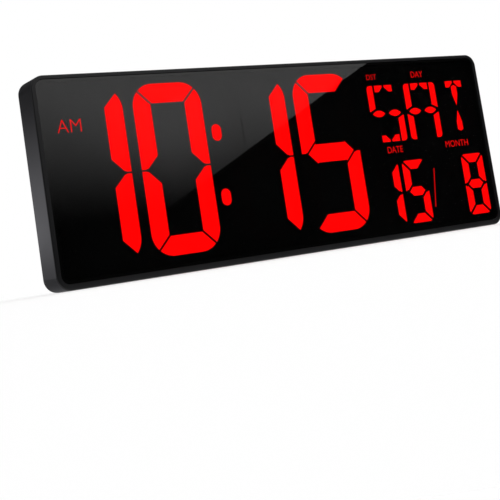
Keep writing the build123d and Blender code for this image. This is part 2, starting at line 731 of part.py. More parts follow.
# Black film with a window for each segment
with BuildPart() as mask_film:
    with BuildSketch(face_plane(FILM_BACK)):
        panel_outline(FILM_INSET)
        add_segments(mode=Mode.SUBTRACT)
    extrude(amount=TAPE_THICKNESS - PANEL_GAP)
save(mask_film, "mask_film")

# Light box: plate in the ledge, blocks with a well for each segment, skirt and screw posts
with BuildPart() as light_box:
    with BuildSketch(face_plane(LEDGE_BACK)):
        case_outline(WELL_PLATE_INSET)
    extrude(amount=LEDGE_THICKNESS)
    with BuildSketch(face_plane(PLATE_BACK)):
        case_outline(BOARD_INSET)
    extrude(amount=LIGHT_BOX_PLATE)
    with BuildSketch(face_plane(BOARD_FRONT)):
        case_outline(BOARD_INSET)
        case_outline(BOARD_INSET + SKIRT_WALL, mode=Mode.SUBTRACT)
        for _, place, faces, _ in CHARACTERS:
            cell = Sketch() + list(faces.values())
            size = cell.bounding_box().size
            middle = cell.bounding_box().center()
            with Locations((place[0] + middle.X, place[1] + middle.Y)):
                Rectangle(size.X + 2 * WELL_WALL, size.Y + 2 * WELL_WALL)
        with Locations(*BOARD_SCREW_POINTS):
            Circle(BOARD_POST_RADIUS)
    extrude(amount=BOARD_FRONT - PLATE_BACK)
    with BuildSketch(face_plane(BOARD_FRONT)):
        add_segments()
        with Locations((RECEIVER_X, SENSOR_Z)):
            Rectangle(RECEIVER_WIDTH + 2 * SENSOR_GAP, RECEIVER_HEIGHT + 2 * SENSOR_GAP)
        with Locations((LIGHT_SENSOR_X, SENSOR_Z)):
            Circle(LIGHT_SENSOR_RADIUS + SENSOR_GAP)
    extrude(amount=LIGHT_BOX_DEPTH, mode=Mode.SUBTRACT)
    with BuildSketch(face_plane(BOARD_FRONT)):
        with Locations(*BOSS_POINTS):
            Circle(BOSS_RADIUS + BOSS_GAP)
    extrude(amount=BOARD_FRONT - LEDGE_BACK, mode=Mode.SUBTRACT)
    with BuildSketch(face_plane(BOARD_FRONT)):
        with Locations(*BOARD_SCREW_POINTS):
            Circle(BOARD_SCREW_RADIUS + SCREW_FIT)
    extrude(amount=BOARD_SCREW_REACH, mode=Mode.SUBTRACT)
save(light_box, "light_box")

# Diffuser inserts in the mouths of the wells, grouped by what they show
for group, name in (
    ("hour", "hour_segments"),
    ("colon", "colon_segments"),
    ("minute", "minute_segments"),
    ("weekday", "weekday_segments"),
    ("date", "date_segments"),
    ("slash", "date_slash"),
    ("month", "month_segments"),
):
    with BuildPart() as lit_inserts:
        with BuildSketch(face_plane(INSERT_BACK)):
            add_segments(group, lit=True)
        extrude(amount=INSERT_DEPTH)
    save(lit_inserts, name)

with BuildPart() as unlit_segments:
    with BuildSketch(face_plane(INSERT_BACK)):
        add_segments(lit=False)
    extrude(amount=INSERT_DEPTH)
save(unlit_segments, "unlit_segments")

# Board that carries the lights in front and the parts behind
with BuildPart() as led_board:
    with BuildSketch(face_plane(BOARD_BACK)):
        case_outline(BOARD_INSET)
        with Locations(*BOSS_POINTS):
            Circle(BOSS_RADIUS + BOSS_GAP, mode=Mode.SUBTRACT)
        with Locations(*BOARD_SCREW_POINTS):
            Circle(BOARD_SCREW_RADIUS + SCREW_FIT, mode=Mode.SUBTRACT)
    extrude(amount=BOARD_THICKNESS)
save(led_board, "led_board")

with BuildPart() as led_chips:
    with BuildSketch(face_plane(BOARD_FRONT)):
        with Locations(*led_points()):
            Rectangle(LED_WIDTH, LED_LENGTH)
    extrude(amount=LED_HEIGHT)
save(led_chips, "led_chips")

board_screws = round_screw(
    BOARD_SCREW_POINTS,
    BOARD_BACK,
    BOARD_HEAD_HEIGHT,
    BOARD_HEAD_RADIUS,
    BOARD_SCREW_RADIUS,
    BOARD_SCREW_REACH + BOARD_THICKNESS - OVERRUN,
)
save(board_screws, "board_screws")


def board_blocks(places, length, width, height, name):
    """Flat parts soldered to the back of the board."""
    with BuildPart() as blocks:
        with BuildSketch(face_plane(BOARD_BACK + height)):
            with Locations(*places):
                Rectangle(length, width)
        extrude(amount=height)
    save(blocks, name)


board_blocks([(CHIP_X, CHIP_Z)], CHIP_SIDE, CHIP_SIDE, CHIP_HEIGHT, "main_chip")
board_blocks(
    [(-DRIVER_X, DRIVER_Z), (DRIVER_X, DRIVER_Z)], DRIVER_LENGTH, DRIVER_WIDTH, DRIVER_HEIGHT, "driver_chips"
)
board_blocks([(CHIP_X, CRYSTAL_Z)], CRYSTAL_LENGTH, CRYSTAL_WIDTH, CRYSTAL_HEIGHT, "clock_crystal")
board_blocks(
    [(CAPACITOR_X, REGULATOR_Z)], REGULATOR_LENGTH, REGULATOR_WIDTH, REGULATOR_HEIGHT, "voltage_regulator"
)

with BuildPart() as capacitors:
    with BuildSketch(face_plane(BOARD_BACK + CAPACITOR_HEIGHT)):
        with Locations((CAPACITOR_X, CAPACITOR_Z), (CAPACITOR_X, CAPACITOR_Z - CAPACITOR_SPACING)):
            Circle(CAPACITOR_RADIUS)
    extrude(amount=CAPACITOR_HEIGHT)
    fillet(capacitors.faces().group_by(Axis.Y)[-1].edges(), CAPACITOR_ROUND)
save(capacitors, "capacitors")

with BuildPart() as temperature_sensor:
    with BuildSketch(face_plane(BOARD_BACK + THERMISTOR_HEIGHT)):
        with Locations((THERMISTOR_X, THERMISTOR_Z)):
            Circle(THERMISTOR_RADIUS)
    extrude(amount=THERMISTOR_HEIGHT)
    fillet(temperature_sensor.faces().sort_by(Axis.Y)[-1].edges(), THERMISTOR_RADIUS / 2)
save(temperature_sensor, "temperature_sensor")

# Remote receiver: a square body with a round lens that looks out through the panel
with BuildPart() as ir_receiver:
    with BuildSketch(face_plane(BOARD_FRONT)):
        with Locations((RECEIVER_X, SENSOR_Z)):
            Rectangle(RECEIVER_WIDTH, RECEIVER_HEIGHT)
    extrude(amount=RECEIVER_DEPTH)
    with BuildSketch(face_plane(BOARD_FRONT - RECEIVER_DEPTH)):
        with Locations((RECEIVER_X, SENSOR_Z)):
            Circle(RECEIVER_LENS_RADIUS)
    extrude(amount=RECEIVER_LENS_DEPTH)
    fillet(ir_receiver.faces().sort_by(Axis.Y)[0].edges(), RECEIVER_LENS_DEPTH / 2)
save(ir_receiver, "ir_receiver")

with BuildPart() as light_sensor:
    with BuildSketch(face_plane(BOARD_FRONT)):
        with Locations((LIGHT_SENSOR_X, SENSOR_Z)):
            Circle(LIGHT_SENSOR_RADIUS)
    extrude(amount=LIGHT_SENSOR_DEPTH)
    fillet(light_sensor.faces().sort_by(Axis.Y)[0].edges(), LIGHT_SENSOR_ROUND)
save(light_sensor, "light_sensor")

# Power inlet: a socket block behind the hole in the side wall, with its centre pin
JACK_PLANE = Plane.YZ.offset(JACK_FACE_X)
JACK_POINT = (JACK_DEPTH - CASE_DEPTH / 2, JACK_Z + CASE_HEIGHT / 2)
with BuildPart() as power_jack:
    with BuildSketch(JACK_PLANE):
        with Locations(JACK_POINT):
            Rectangle(JACK_HEIGHT, JACK_WIDTH)
    extrude(amount=-JACK_LENGTH)
    with BuildSketch(JACK_PLANE):
        with Locations(JACK_POINT):
            Circle(JACK_BORE_RADIUS)
    extrude(amount=-JACK_BORE_DEPTH, mode=Mode.SUBTRACT)
save(power_jack, "power_jack")

with BuildPart() as power_jack_pin:
    with BuildSketch(JACK_PLANE.offset(-JACK_BORE_DEPTH)):
        with Locations(JACK_POINT):
            Circle(JACK_PIN_RADIUS)
    extrude(amount=JACK_BORE_DEPTH - JACK_PIN_SHORT)
save(power_jack_pin, "power_jack_pin")

# Switch board behind the buttons, its pin strip, screws and switch housings
with BuildPart() as board_link:
    with BuildSketch(face_plane(LINK_BACK)):
        with Locations((0, BUTTON_Z)):
            Rectangle(LINK_LENGTH, LINK_WIDTH)
    extrude(amount=LINK_BACK - BOARD_BACK)
save(board_link, "board_link")

with BuildPart() as key_board:
    with BuildSketch(face_plane(KEY_BOARD_BACK)):
        with Locations((0, BUTTON_Z)):
            Rectangle(KEY_BOARD_WIDTH, KEY_BOARD_HEIGHT)
        with Locations(*KEY_POST_POINTS):
            Circle(KEY_SCREW_RADIUS + SCREW_FIT, mode=Mode.SUBTRACT)
    extrude(amount=KEY_BOARD_THICKNESS)
save(key_board, "key_board")

with BuildPart() as key_board_screws:
    with BuildSketch(face_plane(LINK_BACK)):
        with Locations(*KEY_POST_POINTS):
            Circle(KEY_HEAD_RADIUS)
    extrude(amount=KEY_HEAD_HEIGHT)
    with BuildSketch(face_plane(LINK_BACK)):
        with Locations(*KEY_POST_POINTS):
            Circle(KEY_SCREW_RADIUS)
    extrude(amount=-KEY_BOARD_THICKNESS - KEY_SCREW_REACH)
save(key_board_screws, "key_board_screws")

with BuildPart() as switch_housings:
    with BuildSketch(face_plane(SWITCH_BACK)):
        with Locations(*BUTTON_POINTS):
            Rectangle(SWITCH_WIDTH, SWITCH_WIDTH)
    extrude(amount=SWITCH_HEIGHT)
    with BuildSketch(face_plane(SWITCH_BACK)):
        with Locations(*BUTTON_POINTS):
            Circle(PLUNGER_RADIUS + PLUNGER_GAP)
    extrude(amount=SWITCH_HEIGHT - SWITCH_FLOOR, mode=Mode.SUBTRACT)
save(switch_housings, "switch_housings")

# Buttons: each cap sits on the plunger of its switch
for button, point in zip(BUTTON_NAMES, BUTTON_POINTS):
    with BuildPart() as button_cap:
        with BuildSketch(face_plane(BUTTON_OUTER)):
            with Locations(point):
                Circle(BUTTON_RADIUS)
        extrude(amount=BUTTON_OUTER - FLANGE_BACK)
        fillet(button_cap.faces().sort_by(Axis.Y)[-1].edges(), BUTTON_ROUND)
        with BuildSketch(face_plane(FLANGE_BACK)):
            with Locations(point):
                Circle(BUTTON_FLANGE_RADIUS)
        extrude(amount=BUTTON_FLANGE_THICKNESS)
        with BuildSketch(face_plane(FLANGE_FRONT)):
            with Locations(point):
                Circle(BUTTON_STEM_RADIUS)
        extrude(amount=BUTTON_STEM_LENGTH)
    save(button_cap, f"{button}_button")

    with BuildPart() as plunger:
        with BuildSketch(face_plane(STEM_FRONT)):
            with Locations(point):
                Circle(PLUNGER_RADIUS)
        extrude(amount=PLUNGER_LENGTH)
    save(plunger, f"{button}_switch_plunger")

# Speaker: dished frame, cone and magnet, with two leaf contacts to the board
SPEAKER_POINT = (SPEAKER_X, SPEAKER_Z)
with BuildPart() as speaker_frame:
    with BuildSketch(face_plane(COVER_FRONT)):
        with Locations(SPEAKER_POINT):
            Circle(SPEAKER_RADIUS)
    extrude(amount=SPEAKER_DEPTH)
    with BuildSketch(face_plane(COVER_FRONT)):
        with Locations(SPEAKER_POINT):
            Circle(SPEAKER_CONE_RADIUS)
    extrude(amount=SPEAKER_DEPTH - SPEAKER_BASE, mode=Mode.SUBTRACT)
save(speaker_frame, "speaker_frame")

CONE_BACK = COVER_FRONT - SPEAKER_CONE_SUNK
CONE_FRONT = SPEAKER_FRONT + SPEAKER_BASE
with BuildPart() as speaker_cone:
    with BuildSketch(face_plane(CONE_BACK)):
        with Locations(SPEAKER_POINT):
            Circle(SPEAKER_CONE_RADIUS)
    with BuildSketch(face_plane(CONE_FRONT)):
        with Locations(SPEAKER_POINT):
            Circle(SPEAKER_CONE_NECK)
    loft()
    with BuildSketch(face_plane(CONE_BACK + SPEAKER_CONE_SHEET)):
        with Locations(SPEAKER_POINT):
            Circle(SPEAKER_CONE_RADIUS)
    with BuildSketch(face_plane(CONE_FRONT + SPEAKER_CONE_SHEET)):
        with Locations(SPEAKER_POINT):
            Circle(SPEAKER_CONE_NECK)
    loft(mode=Mode.SUBTRACT)
save(speaker_cone, "speaker_cone")

with BuildPart() as speaker_magnet:
    with BuildSketch(face_plane(SPEAKER_FRONT)):
        with Locations(SPEAKER_POINT):
            Circle(SPEAKER_MAGNET_RADIUS)
    extrude(amount=SPEAKER_MAGNET_DEPTH)
save(speaker_magnet, "speaker_magnet")

LEAF_X = (SPEAKER_MAGNET_RADIUS + SPEAKER_RADIUS) / 2
with BuildPart() as speaker_contacts:
    with BuildSketch(face_plane(SPEAKER_FRONT)):
        with Locations((SPEAKER_X - LEAF_X, SPEAKER_Z), (SPEAKER_X + LEAF_X, SPEAKER_Z)):
            Rectangle(SPEAKER_LEAF_SHEET, SPEAKER_LEAF_WIDTH)
    extrude(amount=SPEAKER_FRONT - BOARD_BACK)
save(speaker_contacts, "speaker_contacts")

# Coin cell and its two contacts
CELL_POINT = (CELL_X, CELL_Z)
SIDE_CONTACT_POINT = (CELL_X, CELL_Z + CELL_RADIUS + CONTACT_SIDE_PLAY + CONTACT_SIDE_SHEET / 2)
with BuildPart() as coin_cell:
    with BuildSketch(face_plane(CELL_BACK)):
        with Locations(CELL_POINT):
            Circle(CELL_RADIUS)
    extrude(amount=CELL_THICKNESS)
    chamfer(coin_cell.faces().sort_by(Axis.Y)[0].edges(), CELL_BEVEL)
save(coin_cell, "coin_cell")

with BuildPart() as cell_contact_centre:
    with BuildSketch(face_plane(CELL_FRONT)):
        with Locations(CELL_POINT):
            Circle(CONTACT_DISC_RADIUS)
    extrude(amount=CONTACT_SHEET)
    with BuildSketch(face_plane(BAY_BOTTOM)):
        with Locations(CELL_POINT):
            Circle(CONTACT_PIN_RADIUS)
    extrude(amount=BAY_BOTTOM - BOARD_BACK)
save(cell_contact_centre, "cell_contact_centre")

with BuildPart() as cell_contact_side:
    with BuildSketch(face_plane(CELL_BACK)):
        with Locations(SIDE_CONTACT_POINT):
            Rectangle(CONTACT_SIDE_WIDTH, CONTACT_SIDE_SHEET)
    extrude(amount=CELL_BACK - BOARD_BACK)
save(cell_contact_side, "cell_contact_side")

# Twist cap: a disc with a coin slot, a skirt and two lugs under the cover
with BuildPart() as battery_cap:
    with BuildSketch(face_plane(CAP_BACK)):
        with Locations(CELL_POINT):
            Circle(CAP_RADIUS)
    extrude(amount=CAP_THICKNESS)
    with BuildSketch(face_plane(CAP_FRONT)):
        with Locations(CELL_POINT):
            Circle(CAP_RADIUS)
            Circle(CAP_RADIUS - CAP_SKIRT_WALL, mode=Mode.SUBTRACT)
    extrude(amount=CAP_FRONT - LUG_FRONT)
    with BuildSketch(face_plane(LUG_BACK)):
        with Locations(CELL_POINT):
            Rectangle(2 * LUG_RADIUS, CAP_LUG_WIDTH)
            Circle(LUG_RADIUS, mode=Mode.INTERSECT)
            Circle(CAP_RADIUS - CAP_SKIRT_WALL, mode=Mode.SUBTRACT)
    extrude(amount=CAP_LUG_THICKNESS)
    with BuildSketch(face_plane(CAP_BACK)):
        with Locations(CELL_POINT):
            SlotOverall(COIN_SLOT_LENGTH, COIN_SLOT_WIDTH)
    extrude(amount=COIN_SLOT_DEPTH, mode=Mode.SUBTRACT)
save(battery_cap, "battery_cap")

# Rear cover: plate, leg tubs, keyhole pockets, cell bay, speaker ring, posts and openings
TUB_POINTS = [(x, (TUB_TOP_Z + TUB_FOOT_Z) / 2) for _, x in LEG_SIDES]
RECESS_POINTS = [(x, (RECESS_TOP_Z + RECESS_FOOT_Z) / 2) for _, x in LEG_SIDES]
KEYHOLE_POINTS = [(-KEYHOLE_X, KEYHOLE_Z), (KEYHOLE_X, KEYHOLE_Z)]
KEYHOLE_SLOT_POINTS = [(x, z + KEYHOLE_TRAVEL / 2) for x, z in KEYHOLE_POINTS]
POCKET_WIDTH = 2 * (KEYHOLE_ENTRY_RADIUS + POCKET_MARGIN)
POCKET_HEIGHT = POCKET_WIDTH + KEYHOLE_TRAVEL
PRESS_POINTS = [
    (-KEYHOLE_X, PRESS_POST_Z),
    (KEYHOLE_X, PRESS_POST_Z),
    (-PRESS_POST_LOW_X, PRESS_POST_LOW_Z),
    (PRESS_POST_LOW_X, PRESS_POST_LOW_Z),
]
NOTCH_WIDTH = CAP_LUG_WIDTH + 2 * CAP_GAP

with BuildPart() as rear_cover:
    with BuildSketch(face_plane(CASE_DEPTH)):
        case_outline(COVER_INSET)
    extrude(amount=COVER_THICKNESS)
    with BuildSketch(face_plane(COVER_FRONT)):
        with Locations(*TUB_POINTS):
            Rectangle(TUB_WIDTH, TUB_TOP_Z - TUB_FOOT_Z)
    extrude(amount=RECESS_DEPTH + TUB_FLOOR - COVER_THICKNESS)
    with BuildSketch(face_plane(COVER_FRONT)):
        with Locations(*KEYHOLE_SLOT_POINTS):
            Rectangle(POCKET_WIDTH + 2 * POCKET_WALL, POCKET_HEIGHT + 2 * POCKET_WALL)
    extrude(amount=POCKET_DEPTH + POCKET_WALL)
    with BuildSketch(face_plane(COVER_FRONT)):
        with Locations(CELL_POINT):
            Circle(LUG_BAY_RADIUS + BAY_WALL)
    extrude(amount=COVER_FRONT - BAY_SHELF + BAY_FLOOR)
    with BuildSketch(face_plane(BAY_SHELF)):
        with Locations(CELL_POINT):
            Circle(CELL_BAY_RADIUS + BAY_WALL)
    extrude(amount=BAY_SHELF - BAY_BOTTOM + BAY_FLOOR)
    with BuildSketch(face_plane(COVER_FRONT)):
        with Locations(SPEAKER_POINT):
            Circle(SPEAKER_RADIUS + SPEAKER_RING_GAP + SPEAKER_RING_WALL)
            Circle(SPEAKER_RADIUS + SPEAKER_RING_GAP, mode=Mode.SUBTRACT)
    extrude(amount=SPEAKER_RING_HEIGHT)
    with BuildSketch(face_plane(COVER_FRONT)):
        with Locations(*PRESS_POINTS):
            Circle(PRESS_POST_RADIUS)
    extrude(amount=COVER_FRONT - BOARD_BACK)
    with BuildSketch(face_plane(COVER_FRONT)):
        with Locations(*KEY_POST_POINTS):
            Circle(KEY_POST_RADIUS)
    extrude(amount=COVER_FRONT - KEY_BOARD_BACK)
    # Leg recesses and the bores of their hinge pins
    with BuildSketch(face_plane(CASE_DEPTH)):
        with Locations(*RECESS_POINTS):
            Rectangle(RECESS_WIDTH, RECESS_TOP_Z - RECESS_FOOT_Z)
    extrude(amount=RECESS_DEPTH, mode=Mode.SUBTRACT)
    for _, leg_x in LEG_SIDES:
        with BuildSketch(Plane.YZ.offset(leg_x - TUB_WIDTH / 2 - OVERRUN)):
            with Locations((LEG_AXIS_DEPTH - CASE_DEPTH / 2, LEG_HINGE_HEIGHT)):
                Circle(HINGE_PIN_RADIUS + HINGE_PIN_SEAT)
        extrude(amount=TUB_WIDTH + 2 * OVERRUN, mode=Mode.SUBTRACT)
    # Keyholes and the pockets behind them
    with BuildSketch(face_plane(COVER_FRONT)):
        with Locations(*KEYHOLE_SLOT_POINTS):
            Rectangle(POCKET_WIDTH, POCKET_HEIGHT)
    extrude(amount=POCKET_DEPTH, mode=Mode.SUBTRACT)
    with BuildSketch(face_plane(CASE_DEPTH)):
        with Locations(*KEYHOLE_POINTS):
            Circle(KEYHOLE_ENTRY_RADIUS)
        with Locations(*KEYHOLE_SLOT_POINTS):
            SlotCenterToCenter(KEYHOLE_TRAVEL, KEYHOLE_SLOT_WIDTH, rotation=90)
    extrude(amount=COVER_THICKNESS, mode=Mode.SUBTRACT)
    # Cell bay, lug track, cap opening with its two lug notches, and contact holes
    with BuildSketch(face_plane(BAY_SHELF)):
        with Locations(CELL_POINT):
            Circle(CELL_BAY_RADIUS)
    extrude(amount=BAY_SHELF - BAY_BOTTOM, mode=Mode.SUBTRACT)
    with BuildSketch(face_plane(COVER_FRONT)):
        with Locations(CELL_POINT):
            Circle(LUG_BAY_RADIUS)
    extrude(amount=COVER_FRONT - BAY_SHELF, mode=Mode.SUBTRACT)
    with BuildSketch(face_plane(CASE_DEPTH)):
        with Locations(CELL_POINT):
            Rectangle(2 * LUG_BAY_RADIUS, NOTCH_WIDTH, rotation=-CAP_TURN)
            Circle(LUG_BAY_RADIUS, mode=Mode.INTERSECT)
            Circle(CAP_RADIUS + CAP_GAP)
    extrude(amount=COVER_THICKNESS, mode=Mode.SUBTRACT)
    with BuildSketch(face_plane(BAY_BOTTOM)):
        with Locations(CELL_POINT):
            Circle(CONTACT_PIN_RADIUS + CONTACT_HOLE_GAP)
    extrude(amount=BAY_FLOOR, mode=Mode.SUBTRACT)
    with BuildSketch(face_plane(BAY_SHELF)):
        with Locations(SIDE_CONTACT_POINT):
            Rectangle(CONTACT_SIDE_WIDTH + 2 * CONTACT_HOLE_GAP, CONTACT_SIDE_SHEET + 2 * CONTACT_HOLE_GAP)
    extrude(amount=BAY_SHELF - BAY_BOTTOM + BAY_FLOOR, mode=Mode.SUBTRACT)
    # Speaker grille, vents, button holes and screw holes
    with BuildSketch(face_plane(CASE_DEPTH)):
        with Locations(SPEAKER_POINT):
            Circle(GRILLE_HOLE_RADIUS)
            for ring in range(1, GRILLE_RINGS + 1):
                with PolarLocations(ring * GRILLE_RING_PITCH, 6 * ring):
                    Circle(GRILLE_HOLE_RADIUS)
        with Locations((0, VENT_Z)):
            with GridLocations(VENT_PITCH, 0, VENT_COUNT, 1):
                SlotOverall(VENT_LENGTH, VENT_WIDTH, rotation=90)
        with Locations(*BUTTON_POINTS):
            Circle(BUTTON_RADIUS + BUTTON_GAP)
        with Locations(*BOSS_POINTS):
            Circle(CASE_SCREW_RADIUS + CASE_HEAD_GAP)
    extrude(amount=COVER_THICKNESS, mode=Mode.SUBTRACT)
    with BuildSketch(face_plane(CASE_DEPTH)):
        with Locations(*BOSS_POINTS):
            Circle(CASE_HEAD_RADIUS + CASE_HEAD_GAP)
    extrude(amount=CASE_HEAD_HEIGHT + CASE_HEAD_GAP, mode=Mode.SUBTRACT)
    with BuildSketch(face_plane(KEY_BOARD_BACK)):
        with Locations(*KEY_POST_POINTS):
            Circle(KEY_SCREW_RADIUS + SCREW_FIT)
    extrude(amount=-KEY_SCREW_REACH, mode=Mode.SUBTRACT)
save(rear_cover, "rear_cover")

CASE_HEAD_FRONT = CASE_DEPTH - CASE_HEAD_HEIGHT - CASE_HEAD_GAP
case_screws = round_screw(
    BOSS_POINTS,
    CASE_HEAD_FRONT,
    CASE_HEAD_HEIGHT,
    CASE_HEAD_RADIUS,
    CASE_SCREW_RADIUS,
    CASE_HEAD_FRONT - COVER_FRONT + CASE_SCREW_REACH,
)
save(case_screws, "case_screws")

# Hinge pins of the legs, seated in the sides of their tubs
LEG_AXIS_POINT = (LEG_AXIS_DEPTH - CASE_DEPTH / 2, LEG_HINGE_HEIGHT)
with BuildPart() as hinge_pins:
    for _, leg_x in LEG_SIDES:
        with BuildSketch(Plane.YZ.offset(leg_x - TUB_WIDTH / 2)):
            with Locations(LEG_AXIS_POINT):
                Circle(HINGE_PIN_RADIUS)
        extrude(amount=TUB_WIDTH)
save(hinge_pins, "hinge_pins")

# Legs: a bar with a rounded hinge end, a stop heel, grip grooves and a tongue for the rubber tip
TIP_TOP = LEG_FOOT_HEIGHT + LEG_TIP_LENGTH
LEG_INNER_Y = LEG_AXIS_POINT[0] - LEG_BARREL
LEG_OUTER_Y = LEG_AXIS_POINT[0] + LEG_BARREL
for side, leg_x in LEG_SIDES:
    with BuildPart() as leg:
        with BuildSketch(Plane.YZ.offset(leg_x - LEG_WIDTH / 2)):
            with BuildLine():
                Polyline(
                    (LEG_AXIS_POINT[0], LEG_HINGE_HEIGHT + LEG_HEEL),
                    (LEG_INNER_Y, LEG_HINGE_HEIGHT + LEG_HEEL),
                    (LEG_INNER_Y, TIP_TOP),
                    (LEG_OUTER_Y, TIP_TOP),
                    (LEG_OUTER_Y, LEG_HINGE_HEIGHT + LEG_HEEL - LEG_BARREL),
                )
                RadiusArc(
                    (LEG_OUTER_Y, LEG_HINGE_HEIGHT + LEG_HEEL - LEG_BARREL),
                    (LEG_AXIS_POINT[0], LEG_HINGE_HEIGHT + LEG_HEEL),
                    -LEG_BARREL,
                )
            make_face()
            with Locations(LEG_AXIS_POINT):
                Circle(HINGE_PIN_RADIUS + HINGE_RUNNING_GAP, mode=Mode.SUBTRACT)
        extrude(amount=LEG_WIDTH)
        outer_edges = leg.faces().filter_by(Plane.XZ).sort_by(Axis.Y)[-1].edges().filter_by(Axis.Z)
        fillet(outer_edges, LEG_EDGE_ROUND)
        with BuildSketch(Plane.YZ.offset(leg_x - LEG_WIDTH / 2 - OVERRUN)):
            with Locations((LEG_OUTER_Y, LEG_FOOT_HEIGHT + LEG_GROOVE_HEIGHT)):
                with GridLocations(0, LEG_GROOVE_PITCH, 1, LEG_GROOVE_COUNT):
                    Rectangle(2 * LEG_GROOVE_DEPTH, LEG_GROOVE_WIDTH)
        extrude(amount=LEG_WIDTH + 2 * OVERRUN, mode=Mode.SUBTRACT)
        with BuildSketch(Plane.XY.offset(TIP_TOP)):
            with Locations((leg_x, LEG_AXIS_POINT[0])):
                Rectangle(LEG_TONGUE_WIDTH, LEG_TONGUE_THICKNESS)
        extrude(amount=-LEG_TONGUE_LENGTH)
    save(leg, f"{side}_leg")

    with BuildPart() as leg_tip:
        with BuildSketch(Plane.XY.offset(TIP_TOP)):
            with Locations((leg_x, LEG_AXIS_POINT[0])):
                Rectangle(LEG_WIDTH, LEG_THICKNESS)
        extrude(amount=-LEG_TIP_LENGTH)
        fillet(leg_tip.edges().filter_by(Axis.Z) + leg_tip.faces().sort_by(Axis.Z)[0].edges(), LEG_EDGE_ROUND)
        with BuildSketch(Plane.XY.offset(TIP_TOP)):
            with Locations((leg_x, LEG_AXIS_POINT[0])):
                Rectangle(LEG_TONGUE_WIDTH, LEG_TONGUE_THICKNESS)
        extrude(amount=-LEG_TONGUE_LENGTH, mode=Mode.SUBTRACT)
    save(leg_tip, f"{side}_leg_tip")
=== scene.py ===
"""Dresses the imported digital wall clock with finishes, words, marks and ribs, in a plain studio."""

import json
import math

import bmesh
import bpy
from bpy.props import FloatProperty, FloatVectorProperty, IntProperty, PointerProperty
from mathutils import Matrix, Vector


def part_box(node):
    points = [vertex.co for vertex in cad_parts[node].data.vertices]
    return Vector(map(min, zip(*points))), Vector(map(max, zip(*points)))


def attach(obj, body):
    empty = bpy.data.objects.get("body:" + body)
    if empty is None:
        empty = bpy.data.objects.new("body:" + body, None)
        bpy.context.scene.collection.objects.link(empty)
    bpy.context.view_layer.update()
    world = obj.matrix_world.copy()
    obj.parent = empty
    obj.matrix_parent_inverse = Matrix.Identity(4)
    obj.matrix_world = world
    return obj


bl_info = {
    "name": "Digital wall clock",
    "version": (1, 0, 0),
    "blender": (4, 5, 0),
    "location": "View3D > Sidebar > Clock",
    "description": "Dresses a packed digital wall clock and sets up its studio",
    "category": "Object",
}

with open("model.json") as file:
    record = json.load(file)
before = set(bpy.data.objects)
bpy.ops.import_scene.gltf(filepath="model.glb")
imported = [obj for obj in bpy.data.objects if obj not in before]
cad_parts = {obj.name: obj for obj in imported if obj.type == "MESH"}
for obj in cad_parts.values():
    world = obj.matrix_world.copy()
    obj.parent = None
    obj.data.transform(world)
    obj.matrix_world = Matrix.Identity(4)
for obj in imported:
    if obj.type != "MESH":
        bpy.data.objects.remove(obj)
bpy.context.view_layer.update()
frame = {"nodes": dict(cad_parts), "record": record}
MM = 0.001
BODY = "clock"


def srgb(code):
    """Linear colour with full alpha from an sRGB hex value."""
    parts = [int(code[i:i + 2], 16) / 255 for i in (1, 3, 5)]
    return [c / 12.92 if c <= 0.04045 else ((c + 0.055) / 1.055) ** 2.4 for c in parts] + [1.0]


def colour(name, code, description):
    """A colour setting whose default is an sRGB hex value."""
    return FloatVectorProperty(
        name=name, description=description, subtype="COLOR", size=4, min=0, max=1, default=srgb(code)
    )


def length(name, millimetres, description):
    """A length setting whose default is given in millimetres."""
    return FloatProperty(name=name, description=description, unit="LENGTH", default=millimetres * MM)


def share(name, value, description):
    """A plain number between nought and one."""
    return FloatProperty(name=name, description=description, subtype="FACTOR", min=0, max=1, default=value)


def strength(name, value, description):
    """How bright a lamp or a lit piece is."""
    return FloatProperty(name=name, description=description, min=0, default=value)


class CaseSettings(bpy.types.PropertyGroup):
    """Colours and grain of the moulded parts."""

    case: colour("Case", "#0b0b0d", "Satin black of the front case")
    cover: colour("Rear cover", "#161618", "Matt black of the rear cover")
    keys: colour("Keys and cap", "#232326", "Dark grey of the buttons and the battery cap")
    legs: colour("Legs", "#1b1b1d", "Black of the fold-out legs")
    rubber: colour("Rubber", "#1d1d1c", "Black of the leg tips")
    # Both grains are drawn coarser than real ones, so that they show
    grain: length("Moulded grain", 0.8, "Width of the grain on smooth mouldings")
    tooth: length("Cover grain", 1.5, "Width of the grain on the rear cover")
    gloss: share("Case roughness", 0.3, "Roughness of the front case")


class PanelSettings(bpy.types.PropertyGroup):
    """Smoked panel and what lies behind it."""

    tint: colour("Smoke", "#020202", "Body colour of the smoked panel")
    cover: share("Density", 0.15, "Share of light that each face of the panel keeps back")
    film: colour("Mask", "#070707", "Black of the mask film")
    lit: colour("Lit segments", "#ff0000", "Colour of the lit segments")
    unlit: colour("Unlit segments", "#080606", "Dark diffuser of the segments that are off")
    glow: strength("Glow", 1.4, "Strength of the lit segments")
    slash_glow: strength("Slash glow", 0.75, "Strength of the date slash")
    word_glow: strength("Word glow", 0.9, "Strength of the display words")
    ink_film: length("Panel ink", 0.012, "Thickness of the ink of the display words and the panel's border")
    border: length("Border", 2.0, "Width of the black border printed round the panel")
    border_ink: colour("Border ink", "#050505", "Black of the panel's printed border")


